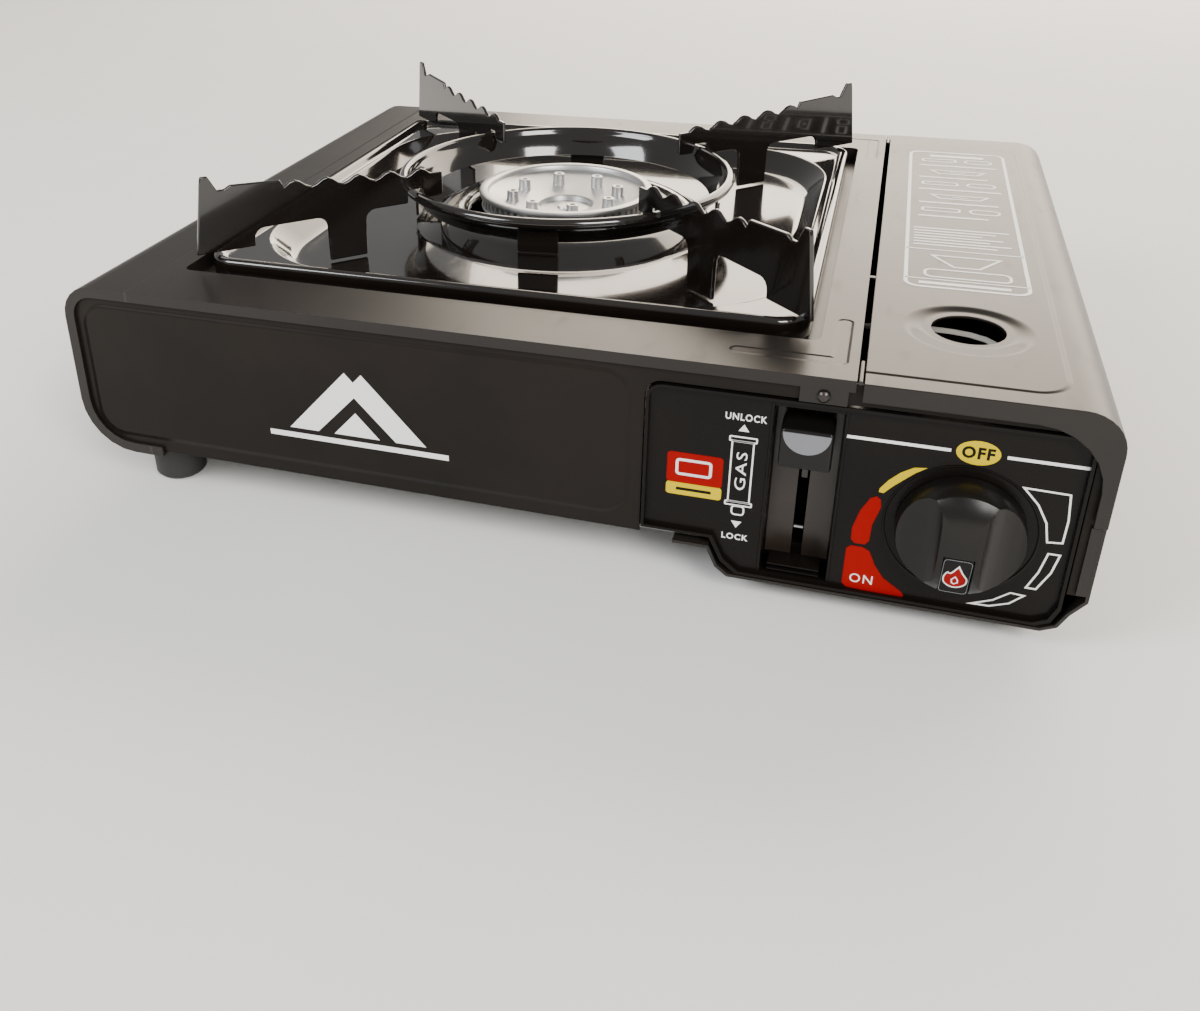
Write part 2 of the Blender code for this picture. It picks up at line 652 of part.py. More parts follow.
def drip_tray():
    """The enamelled tray: raised rim, sunk well with sloping walls, and the boss around the burner."""
    shelf = BODY_TOP + 0.6 * MM
    floor = BODY_TOP - TRAY_WELL
    rim = BODY_TOP + TRAY_RIM
    half = TRAY_HALF - TRAY_SHEET / 2
    sections = [
        (half, TRAY_CORNER, BODY_TOP - RECESS_DEPTH + GAP + TRAY_SHEET / 2),
        (half, TRAY_CORNER, rim - 1.4 * MM),
        (half - 1 * MM, TRAY_CORNER - 1 * MM, rim - TRAY_SHEET / 2),
        (half - 3 * MM, TRAY_CORNER - 2 * MM, rim - TRAY_SHEET / 2),
        (half - 5 * MM, TRAY_CORNER - 3 * MM, shelf),
        (half - 6.5 * MM, 44 * MM, shelf - 0.2 * MM),
        (half - 8.5 * MM, 43 * MM, shelf - 1.2 * MM),
        (half - 15 * MM, 40 * MM, floor),
        (BOSS_RADIUS + 11 * MM, BOSS_RADIUS + 11 * MM, floor),
        (BOSS_RADIUS + 8 * MM, BOSS_RADIUS + 8 * MM, floor + 1.2 * MM),
        (BOSS_RADIUS, BOSS_RADIUS, BODY_TOP - 1.8 * MM),
        (BOSS_RADIUS - 4 * MM, BOSS_RADIUS - 4 * MM, BODY_TOP - 0.8 * MM),
        (TRAY_HOLE + 2 * MM, TRAY_HOLE + 2 * MM, BODY_TOP - 1.4 * MM),
        (TRAY_HOLE, TRAY_HOLE, BODY_TOP - 4.4 * MM),
    ]
    work = bmesh.new()
    loops = [square_loop(work, *section) for section in sections]
    for upper, lower in zip(loops, loops[1:]):
        for index in range(len(upper)):
            work.faces.new((upper[index - 1], upper[index], lower[index], lower[index - 1]))
    bmesh.ops.recalc_face_normals(work, faces=work.faces)
    mesh = bpy.data.meshes.new("drip_tray")
    work.to_mesh(mesh)
    work.free()
    mesh.shade_smooth()
    tray = link("drip_tray", mesh)
    skin = tray.modifiers.new("thickness", "SOLIDIFY")
    skin.thickness = TRAY_SHEET
    skin.offset = 0.0
    return dress(tray, "enamel")


def wind_ring():
    """The funnel-shaped ring with a rolled rim and four legs down to the tray."""
    top = BODY_TOP + RING_TOP
    low = BODY_TOP + RING_BOTTOM
    profile = [(RING_RADIUS - 2.0 * MM, top), (RING_RADIUS - 0.4 * MM, top - 0.3 * MM),
               (RING_RADIUS, top - 1.4 * MM), (RING_RADIUS - 0.6 * MM, top - 2.6 * MM),
               (RING_RADIUS - 2.2 * MM, top - 3.0 * MM), (RING_FOOT_RADIUS + 0.9 * MM, low),
               (RING_FOOT_RADIUS, low + 0.3 * MM), (RING_RADIUS - 3.4 * MM, top - 2.0 * MM),
               (RING_RADIUS - 3.0 * MM, top - 0.6 * MM), (RING_RADIUS - 2.0 * MM, top)]
    ring = turned("wind_ring", profile, (TRAY_X, TRAY_Y, 0), steps=48)
    reach = RING_FOOT_RADIUS + 2.4 * MM
    floor = BODY_TOP - TRAY_WELL + TRAY_SHEET / 2 + GAP
    for index in range(4):
        leg = box(f"ring leg {index}", (-RING_LEG_WIDTH / 2, reach, floor),
                  (RING_LEG_WIDTH / 2, reach + 1.2 * MM, low + 4 * MM))
        leg.location = (TRAY_X, TRAY_Y, 0)
        leg.rotation_euler = (0, 0, math.radians(90 * index + RING_TURN))
        join(ring, leg)
    return dress(ring, "enamel")


def arm_top():
    """Upper edge of a pan arm from the horn inwards: dip, straight seat, then scallops that fall inwards."""
    seat_start = ARM_OUTER - 15 * MM
    seat_end = ARM_OUTER - 33.5 * MM
    points = [(ARM_OUTER - 4 * MM, ARM_HORN - 2 * MM), (ARM_OUTER - 4.5 * MM, ARM_HORN),
              (ARM_OUTER - 7.3 * MM, ARM_HORN), (ARM_OUTER - 8.8 * MM, ARM_SEAT + 3 * MM),
              (ARM_OUTER - 10.2 * MM, ARM_SEAT + 0.4 * MM), (ARM_OUTER - 12.6 * MM, ARM_SEAT + 0.3 * MM),
              (seat_start, ARM_SEAT + 1.6 * MM), (seat_end, ARM_SEAT + 0.7 * MM)]
    per_scallop = 6
    for step in range(1, SCALLOPS * per_scallop):
        along = step / per_scallop
        r = seat_end - 5.5 * MM - (along - 0.5) * SCALLOP_PITCH + 0.5 * SCALLOP_PITCH - 6.3 * MM
        fall = SCALLOP_FALL * along / SCALLOPS
        dip = SCALLOP_DEPTH * 0.5 * (1 + math.cos(2 * math.pi * along))
        points.append((r, ARM_SEAT - fall - dip + 0.3 * MM))
    return points


def pan_arm(name, across, forward):
    """One stamped arm on the tray's diagonal: outer and inner leg, window, hook over the ring."""
    floor = -TRAY_WELL + TRAY_SHEET / 2 + GAP
    rim = TRAY_RIM + TRAY_SHEET / 2 + GAP
    hook = RING_RADIUS + 1.6 * MM
    under = ARM_UNDERSIDE
    inner = 88.5 * MM
    outline = arm_top()
    outline += [(ARM_INNER, ARM_SEAT - 5.5 * MM), (ARM_INNER, under + 1.6 * MM),
                (ARM_INNER + 2 * MM, under + 1.2 * MM)]
    outline += [(RING_RADIUS - 5.6 * MM, under + 1.2 * MM), (RING_RADIUS - 4.6 * MM, RING_TOP + 1 * MM),
                (hook, RING_TOP + 1 * MM), (hook + 0.3 * MM, under)]
    outline += arc((inner - 4 * MM, under - 4 * MM), 4 * MM, 90, 0, 4)
    outline += [(inner + 0.4 * MM, floor), (inner + 15.5 * MM, floor)]
    outline += arc((inner + 19.6 * MM, under - 4 * MM), 4 * MM, 180, 90, 4)
    outline += arc((ARM_OUTER - 26 * MM, under - 4 * MM), 4 * MM, 90, 0, 4)
    outline += [(ARM_OUTER - 22 * MM, rim), (ARM_OUTER, rim)]
    outline = [(r, BODY_TOP + height) for r, height in outline]
    plane = (Vector((across, forward, 0)).normalized(), Vector((0, 0, 1)))
    arm = prism(name, outline, plane, -ARM_SHEET / 2, ARM_SHEET / 2)
    arm.location = (TRAY_X, TRAY_Y, 0)
    return dress(arm, "enamel")


def pan_support():
    """Tray, ring and arms, which lift off together."""
    pieces = [drip_tray(), wind_ring()]
    for side, label in ((-1, "left"), (1, "right")):
        for depth, end in ((-1, "front"), (1, "rear")):
            pieces.append(pan_arm(f"pan_arm_{end}_{label}", side, depth))
    empty = axis_empty("support_axis", (TRAY_X, TRAY_Y, BODY_TOP))
    for piece in pieces:
        hang(piece, empty)


# ---------------------------------------------------------------- burner and gas path


def burner():
    """Head, cup and stand."""
    head = [(0, BURNER_TOP - 7.4 * MM), (6 * MM, BURNER_TOP - 7.4 * MM), (7.5 * MM, BURNER_TOP - 8.6 * MM),
            (21 * MM, BURNER_TOP - 6.2 * MM), (BURNER_RADIUS - 3.5 * MM, BURNER_TOP - 0.8 * MM),
            (BURNER_RADIUS - 2.5 * MM, BURNER_TOP), (BURNER_RADIUS - 0.4 * MM, BURNER_TOP),
            (BURNER_RADIUS, BURNER_TOP - 0.5 * MM), (BURNER_RADIUS, BURNER_TOP - 1.8 * MM),
            (BURNER_RADIUS - 1.5 * MM, BURNER_TOP - 2.4 * MM),
            (BURNER_RADIUS - 1.8 * MM, BURNER_SEAT + 1.5 * MM), (CUP_RADIUS, BURNER_SEAT), (0, BURNER_SEAT)]
    dress(turned("burner_head", head, (*BURNER_AT, 0), steps=48), "aluminium")
    top = BURNER_SEAT - GAP
    cup = [(0, top), (CUP_RADIUS + 3 * MM, top), (CUP_RADIUS + 3.4 * MM, top - 2.4 * MM),
           (CUP_RADIUS, top - 9.3 * MM), (CUP_RADIUS - 0.5 * MM, CUP_BOTTOM + 2.5 * MM),
           (CUP_RADIUS - 3 * MM, CUP_BOTTOM), (0, CUP_BOTTOM)]
    dress(turned("burner_cup", cup, (*BURNER_AT, 0), steps=32), "aluminium")
    base = BODY_BOTTOM + 2 * SHEET + 2 * GAP
    left = TRAY_X - STAND_WIDTH / 2
    right = TRAY_X + STAND_WIDTH / 2
    top = CUP_BOTTOM - GAP - STAND_SHEET
    path = [(left - STAND_FOOT, base), (left, base), (left, top), (right, top), (right, base),
            (right + STAND_FOOT, base)]
    stand = prism("burner_stand", strip_outline(path, STAND_SHEET), "XZ", -TRAY_Y - STAND_DEPTH / 2,
                  -TRAY_Y + STAND_DEPTH / 2)
    dress(stand, "steel")


def along_tube(distance, height=TUBE_Z):
    """A point at a distance from the burner's centre along the mixing tube."""
    place = BURNER_AT + TUBE_DIRECTION * distance
    return Vector((place.x, place.y, height))


def gas_path():
    """Mixing tube, nozzle and the thin pipe from the regulator."""
    start = CUP_RADIUS + 1 * MM
    end = start + TUBE_LENGTH
    dress(rod("mixing_tube", TUBE_RADIUS, along_tube(start), along_tube(end), 20), "steel")
    length = 10 * MM
    profile = [(0, length), (1.4 * MM, length), (2.2 * MM, length - 2 * MM), (4 * MM, length - 3 * MM),
               (4 * MM, 3 * MM), (3 * MM, 2 * MM), (3 * MM, 0), (0, 0)]
    seat = end + length + 1.5 * MM
    toward = along_tube(0) - along_tube(1)
    dress(turned("nozzle", profile, along_tube(seat), toward, 16), "brass")
    outlet = Vector((REGULATOR_LEFT - 0.5 * MM, FRONT + 41 * MM, 51 * MM))
    route = [outlet] + [outlet + Vector(step) * MM for step in ((-4, 0, 0), (-11.5, 7, 4), (-19.5, 18, 7))]
    route += [along_tube(seat + ahead * MM) for ahead in (14, 6, 0.6)]
    dress(pipe("gas_pipe", smooth_route(route, 5), 2 * MM, 1), "brass")


def regulator():
    """Die-cast regulator with its cap, seal and bracket."""
    half_width = BAY_AXIS_X - REGULATOR_LEFT
    body = rod("regulator_body", REGULATOR_RADIUS, (BAY_AXIS_X, REGULATOR_FRONT, BAY_AXIS_Z),
               (BAY_AXIS_X, REGULATOR_REAR, BAY_AXIS_Z), 24)
    join(body, box("regulator block", (BAY_AXIS_X - half_width, REGULATOR_FRONT + 6 * MM, REGULATOR_LOW),
                   (BAY_AXIS_X + half_width, REGULATOR_REAR - 8 * MM, REGULATOR_HIGH)))
    cut(body, rod("valve bore", 9 * MM, (BAY_AXIS_X, REGULATOR_REAR - 8 * MM, BAY_AXIS_Z),
                  (BAY_AXIS_X, REGULATOR_REAR + 2 * MM, BAY_AXIS_Z), 24))
    bore = SPINDLE_RADIUS + SPINDLE_CLEARANCE
    cut(body, rod("spindle bore", bore, (KNOB_X, REGULATOR_FRONT - 2 * MM, KNOB_Z),
                  (KNOB_X, SPINDLE_REAR + 1 * MM, KNOB_Z), 16))
    dress(body, "aluminium")
    seal = [(8.6 * MM, 2.4 * MM), (8.6 * MM, 0), (4.2 * MM, 0), (4.2 * MM, 2.4 * MM), (8.6 * MM, 2.4 * MM)]
    seat = (BAY_AXIS_X, REGULATOR_REAR - 7.6 * MM, BAY_AXIS_Z)
    dress(turned("valve_seal", seal, seat, (0, 1, 0), 20), "rubber")
    cap_low = REGULATOR_HIGH + GAP
    cap = [(0, cap_low + 10 * MM), (11 * MM, cap_low + 10 * MM), (13 * MM, cap_low + 8 * MM),
           (17 * MM, cap_low + 7 * MM), (17 * MM, cap_low + 3.5 * MM), (14 * MM, cap_low + 3 * MM),
           (14 * MM, cap_low), (0, cap_low)]
    middle = (REGULATOR_FRONT + REGULATOR_REAR) / 2
    dress(turned("regulator_cap", cap, (BAY_AXIS_X, middle, 0), steps=24), "steel")
    top = REGULATOR_LOW - GAP - BRACKET_SHEET
    floor = BAY_FLOOR + SHEET + GAP
    half = 21 * MM
    path = [(BAY_AXIS_X - half - 6 * MM, floor), (BAY_AXIS_X - half, floor), (BAY_AXIS_X - half, top),
            (BAY_AXIS_X + half, top), (BAY_AXIS_X + half, floor), (BAY_AXIS_X + half + 6 * MM, floor)]
    bracket = prism("regulator_bracket", strip_outline(path, BRACKET_SHEET), "XZ", -REGULATOR_FRONT - 4 * MM,
                    -REGULATOR_REAR + 8 * MM)
    dress(bracket, "steel")


def igniter():
    """Piezo unit beside the regulator, its wire, and the electrode at the burner."""
    body = rod("piezo_igniter", 4.5 * MM, (PIEZO_X, FRONT + 10 * MM, PIEZO_Z),
               (PIEZO_X, FRONT + 41 * MM, PIEZO_Z), 16)
    dress(body, "gloss")
    angle = math.radians(ELECTRODE_TURN)
    reach = BURNER_RADIUS + 0.6 * MM
    x = TRAY_X + reach * math.cos(angle)
    y = TRAY_Y + reach * math.sin(angle)
    shoulder = BURNER_SEAT - 4.6 * MM
    foot_z = CUP_BOTTOM + 4.5 * MM
    tip = [(0, BURNER_TOP - 5.2 * MM), (0.6 * MM, BURNER_TOP - 5.8 * MM), (0.6 * MM, shoulder),
           (2 * MM, shoulder), (2 * MM, foot_z), (0, foot_z)]
    dress(turned("igniter_electrode", tip, (x, y, 0), steps=12), "ceramic")
    start = Vector((PIEZO_X, FRONT + 42 * MM, PIEZO_Z))
    route = [start] + [start + Vector(step) * MM for step in
                       ((-2, 6, 4), (-18, 19, 11), (-44, 23, 11), (-62, 25, 9))]
    end = Vector((x, y, foot_z - 1 * MM))
    route += [end + Vector(step) * MM for step in ((54.5, -39.2, 11), (22.5, -13.2, 1), (5, -4, -4))] + [end]
    dress(pipe("ignition_wire", smooth_route(route, 5), 1 * MM, 1), "wire")


# ---------------------------------------------------------------- control panel


def panel_outline(inset):
    """The control panel's outline, stepped down to the bay on the right, moved inwards by an inset."""
    left = PANEL_LEFT + inset
    right = PANEL_RIGHT - inset
    low = PANEL_BOTTOM + inset
    step = PANEL_STEP_Z + inset
    outline = [(left, step), (PANEL_STEP_X + inset, step), (PANEL_STEP_X + 4 * MM + inset, low + 4 * MM),
               (PANEL_STEP_X + 9 * MM + inset, low), (right - 6 * MM, low), (right - 2 * MM, low + 2 * MM),
               (right, low + 7 * MM)]
    radius = PANEL_CORNER - inset
    corner = (PANEL_RIGHT - PANEL_CORNER, PANEL_TOP - PANEL_CORNER)
    outline += arc(corner, radius, 0, 90, 4)
    outline += arc((PANEL_LEFT + PANEL_CORNER, PANEL_TOP - PANEL_CORNER), radius, 90, 180, 4)
    return outline


def control_panel():
    """The plastic panel: a tray with a rim, the lever's channel and slot, and the spindle hole."""
    near = FRONT + 0.2 * MM
    face = FRONT + PANEL_RECESS
    panel = prism("control_panel", panel_outline(0), "XZ", -near, -face - PANEL_WALL)
    left = CHANNEL_X - CHANNEL_WIDTH / 2
    right = CHANNEL_X + CHANNEL_WIDTH / 2
    back = face + CHANNEL_DEPTH
    low = PANEL_BOTTOM + 1.5 * MM
    join(panel, box("channel block", (left - 1.5 * MM, face + 1 * MM, low - 1.2 * MM),
                    (right + 1.5 * MM, back + 2 * MM, CHANNEL_TOP + 1.5 * MM)))
    cut(panel, prism("panel dish", panel_outline(PANEL_RIM), "XZ", -near + SHEET, -face))
    cut(panel, box("channel", (left, near - SHEET, low), (right, back, CHANNEL_TOP)))
    cut(panel, box("slot", (CHANNEL_X - SLOT_WIDTH / 2, back - 1 * MM, SLOT_LOW),
                   (CHANNEL_X + SLOT_WIDTH / 2, back + 4 * MM, SLOT_HIGH)))
    cut(panel, rod("spindle hole", SPINDLE_RADIUS + 1 * MM, (KNOB_X, near - SHEET, KNOB_Z),
                   (KNOB_X, face + 4 * MM, KNOB_Z), 16))
    return dress(panel, "gloss")


def knob():
    """Domed knob with a central grip bar between two scoops, its insert and its spindle."""
    face = FRONT + PANEL_RECESS
    base = 0.6 * MM
    socket = KNOB_HEIGHT - 5 * MM
    bore = SPINDLE_RADIUS + SPINDLE_CLEARANCE
    profile = [(0, KNOB_HEIGHT), (9 * MM, KNOB_HEIGHT - 0.4 * MM), (13.6 * MM, KNOB_HEIGHT - 1.7 * MM),
               (16.4 * MM, KNOB_HEIGHT - 3.9 * MM), (KNOB_RADIUS - 0.4 * MM, KNOB_HEIGHT - 6.9 * MM),
               (KNOB_RADIUS, base + 1.8 * MM), (KNOB_RADIUS, base), (bore, base), (bore, socket), (0, socket)]
    cap = turned("knob", profile, (KNOB_X, face, KNOB_Z), (0, -1, 0), 40)
    scoop = 11 * MM
    for side in (-1, 1):
        x = KNOB_X + side * (KNOB_BAR / 2 + scoop)
        y = face - KNOB_HEIGHT - 4 * MM
        cut(cap, rod(f"scoop {side}", scoop, (x, y, KNOB_Z - 24 * MM), (x, y, KNOB_Z + 24 * MM), 24))
    half = KNOB_BAR / 2 - 0.6 * MM
    pocket = box("insert pocket", (-half, -8 * MM, -7.9 * MM), (half, 1.4 * MM, 7.9 * MM))
    insert = box("knob_insert", (GAP - half, 0, GAP - 7.9 * MM), (half - GAP, 1.1 * MM, 7.9 * MM - GAP))
    for piece in (pocket, insert):
        piece.location = (KNOB_X, face - KNOB_HEIGHT + 2.4 * MM, KNOB_Z - 9.5 * MM)
        piece.rotation_euler = (math.radians(16), 0, 0)
    cut(cap, pocket)
    spindle = rod("valve_spindle", SPINDLE_RADIUS, (KNOB_X, face - socket + GAP, KNOB_Z),
                  (KNOB_X, SPINDLE_REAR, KNOB_Z), 16)
    empty = axis_empty("knob_axis", (KNOB_X, face, KNOB_Z))
    hang(dress(cap, "gloss"), empty)
    hang(dress(insert, "gloss"), empty)
    hang(dress(spindle, "brass"), empty)


# ---------------------------------------------------------------- lock lever and collar fork


def lock_lever():
    """The plate that slides down behind the slot, its slanted cam slot, and the tab in front."""
    x = CHANNEL_X
    back = FRONT + PANEL_RECESS + CHANNEL_DEPTH
    low = CAM_PIN_Z - 4 * MM
    high = CAM_PIN_Z + LEVER_TRAVEL + 4 * MM
    middle = (CAP_LOW + CAP_HIGH) / 2
    half = LEVER_SHEET / 2
    lever = box("lock_lever", (x - half, back + 3 * MM, low), (x + half, CAM_PIN_Y + 6 * MM, high))
    join(lever, box("lever stem", (x - half + 0.05 * MM, back - 1.6 * MM, middle - 4 * MM),
                    (x + half - 0.05 * MM, back + 6 * MM, middle + 4 * MM)))
    reach = CAM_PIN_RADIUS + GAP
    run = Vector((-FORK_TRAVEL, LEVER_TRAVEL))
    lean = math.degrees(math.atan2(run.y, run.x))
    outline = arc((CAM_PIN_Y, CAM_PIN_Z), reach, lean + 90, lean + 270, 6)
    outline += arc((CAM_PIN_Y + run.x, CAM_PIN_Z + run.y), reach, lean - 90, lean + 90, 6)
    cut(lever, prism("cam slot", outline, "YZ", x - 3 * half, x + 3 * half))
    cap = box("lever_cap", (x - CAP_WIDTH / 2, CAP_FRONT, CAP_LOW),
              (x + CAP_WIDTH / 2, back - 2 * MM, CAP_HIGH))
    bevel = cap.modifiers.new("soft edges", "BEVEL")
    bevel.width = 1.2 * MM
    bevel.segments = 2
    bevel.limit_method = "ANGLE"
    empty = axis_empty("lever_axis", (x, CAM_PIN_Y, CAM_PIN_Z))
    hang(dress(lever, "steel"), empty)
    hang(dress(cap, "cap"), empty)


def collar_fork():
    """The fork that draws the canister's collar forwards, with its side arm and cam pin."""
    inner = 16.5 * MM
    outer = 24 * MM
    outline = arc((BAY_AXIS_X, BAY_AXIS_Z), outer, 180, 360, 14)
    outline += [(BAY_AXIS_X + outer, BAY_AXIS_Z + 12 * MM), (BAY_AXIS_X + inner, BAY_AXIS_Z + 12 * MM)]
    outline += arc((BAY_AXIS_X, BAY_AXIS_Z), inner, 0, -180, 12)
    outline += [(BAY_AXIS_X - inner, BAY_AXIS_Z + 12 * MM), (BAY_AXIS_X - outer, BAY_AXIS_Z + 12 * MM)]
    fork = prism("collar_fork", outline, "XZ", -FORK_Y - FORK_SHEET / 2, -FORK_Y + FORK_SHEET / 2)
    side = CHANNEL_X + LEVER_SHEET / 2 + 0.4 * MM
    join(fork, box("fork bar", (side, FORK_Y - FORK_SHEET / 2 + 0.1 * MM, CAM_PIN_Z - 4 * MM),
                   (BAY_AXIS_X - inner - 2 * MM, FORK_Y + FORK_SHEET / 2 - 0.1 * MM, CAM_PIN_Z + 5 * MM)))
    join(fork, box("fork arm", (side + 0.05 * MM, CAM_PIN_Y - 5 * MM, CAM_PIN_Z - 3.9 * MM),
                   (side + 1.5 * MM, FORK_Y, CAM_PIN_Z + 4.9 * MM)))
    join(fork, rod("cam pin", CAM_PIN_RADIUS, (CHANNEL_X - LEVER_SHEET / 2 - 0.8 * MM, CAM_PIN_Y, CAM_PIN_Z),
                   (side + 1 * MM, CAM_PIN_Y, CAM_PIN_Z), 12))
    return hang(dress(fork, "steel"), axis_empty("fork_axis", (BAY_AXIS_X, FORK_Y, BAY_AXIS_Z)))


def centre_footprint():
    """Slide everything along Y until the origin is under the middle of the depth, knob and lid included."""
    shift = (KNOB_HEIGHT - PANEL_RECESS - LID_OVERHANG) / 2
    for item in list(PARTS.objects) + list(CUTTERS.objects):
        if item.parent is None:
            item.location.y += shift


def build():
    """Every piece of the stove."""
    main_shell()
    bezel_screw()
    front_panel()
    rear_panel()
    bay_shell()
    base_plate()
    feet()
    partition()
    heat_plate()
    for name, y in zip(("cradle_front", "cradle_rear"), CRADLES_Y):
        cradle(name, y)
    lid()
    hinge_pins()
    pan_support()
    burner()
    gas_path()
    regulator()
    igniter()
    control_panel()
    knob()
    lock_lever()
    collar_fork()
    centre_footprint()


build()
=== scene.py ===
"""Portable gas camping stove in its finished looks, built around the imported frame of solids.

Lengths are in metres. The front faces -Y, the canister bay is at +X and the stove stands on z = 0.
"""

from __future__ import annotations

import json
import logging
import math
from dataclasses import dataclass, field
from enum import Enum

import bmesh
import bpy
from bmesh.types import BMesh, BMFace, BMVert
from mathutils import Euler, Matrix, Vector

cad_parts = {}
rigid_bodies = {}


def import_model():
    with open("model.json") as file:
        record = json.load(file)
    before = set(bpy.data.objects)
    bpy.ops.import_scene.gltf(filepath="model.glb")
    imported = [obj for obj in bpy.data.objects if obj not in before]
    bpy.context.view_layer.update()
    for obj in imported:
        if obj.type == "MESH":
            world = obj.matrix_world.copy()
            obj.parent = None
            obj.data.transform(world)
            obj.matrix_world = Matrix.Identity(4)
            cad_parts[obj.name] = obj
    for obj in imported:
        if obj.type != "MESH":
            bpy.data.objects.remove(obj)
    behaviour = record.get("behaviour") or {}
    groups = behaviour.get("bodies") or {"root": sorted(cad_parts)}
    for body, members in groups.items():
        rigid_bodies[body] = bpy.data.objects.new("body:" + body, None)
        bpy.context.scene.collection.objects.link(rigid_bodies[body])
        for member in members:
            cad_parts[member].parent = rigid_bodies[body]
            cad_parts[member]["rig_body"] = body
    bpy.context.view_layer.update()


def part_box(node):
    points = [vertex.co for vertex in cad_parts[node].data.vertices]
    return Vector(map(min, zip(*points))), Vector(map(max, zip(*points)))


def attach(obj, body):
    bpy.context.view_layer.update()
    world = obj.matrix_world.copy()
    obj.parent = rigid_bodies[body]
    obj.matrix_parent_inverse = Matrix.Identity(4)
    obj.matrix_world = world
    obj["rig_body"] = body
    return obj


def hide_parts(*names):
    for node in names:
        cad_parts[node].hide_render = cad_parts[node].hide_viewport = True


LOG = logging.getLogger("camping_stove")
MM = 0.001
MERGE = 0.000002  # points closer than this become one
FLAT = 0.5  # degrees by which faces may differ and still be joined
CREASE = 32.0  # degrees above which an edge stays sharp
RIM_ANGLE = 60  # degrees above which a slab's edge is its rim
CORNERS = ("front_left", "front_right", "rear_left", "rear_right")
Colour = tuple[float, float, float]
Outline = list[tuple[float, float]]


# ---------------------------------------------------------------- writing materials


class Value:
    """A number in a material: Python's operators add the Math nodes that work it out."""

    def __init__(self, recipe: Recipe, socket: bpy.types.NodeSocket) -> None:
        """Wrap an output socket of a recipe's node."""
        self.recipe = recipe
        self.socket = socket

    def __add__(self, other: Value | float) -> Value:
        """Sum."""
        return self.recipe.maths("ADD", self, other)

    def __sub__(self, other: Value | float) -> Value:
        """Difference."""
        return self.recipe.maths("SUBTRACT", self, other)

    def __mul__(self, other: Value | float) -> Value:
        """Product."""
        return self.recipe.maths("MULTIPLY", self, other)

    def __neg__(self) -> Value:
        """Opposite."""
        return self.recipe.maths("MULTIPLY", self, -1.0)

    __radd__ = __add__
    __rmul__ = __mul__

    def size(self) -> Value:
        """Absolute value."""
        return self.recipe.maths("ABSOLUTE", self)

    def least(self, other: Value | float) -> Value:
        """The smaller of two."""
        return self.recipe.maths("MINIMUM", self, other)

    def most(self, other: Value | float) -> Value:
        """The larger of two."""
        return self.recipe.maths("MAXIMUM", self, other)

    def root(self) -> Value:
        """Square root."""
        return self.recipe.maths("SQRT", self)

    def wave(self) -> Value:
        """Sine."""
        return self.recipe.maths("SINE", self)

    def ease(self, low: float, high: float) -> Value:
        """Smooth climb from 0 at low to 1 at high."""
        made = self.recipe.node(
            "ShaderNodeMapRange", {"interpolation_type": "SMOOTHSTEP"}, {0: self, 1: low, 2: high})
        return Value(self.recipe, made.outputs[0])


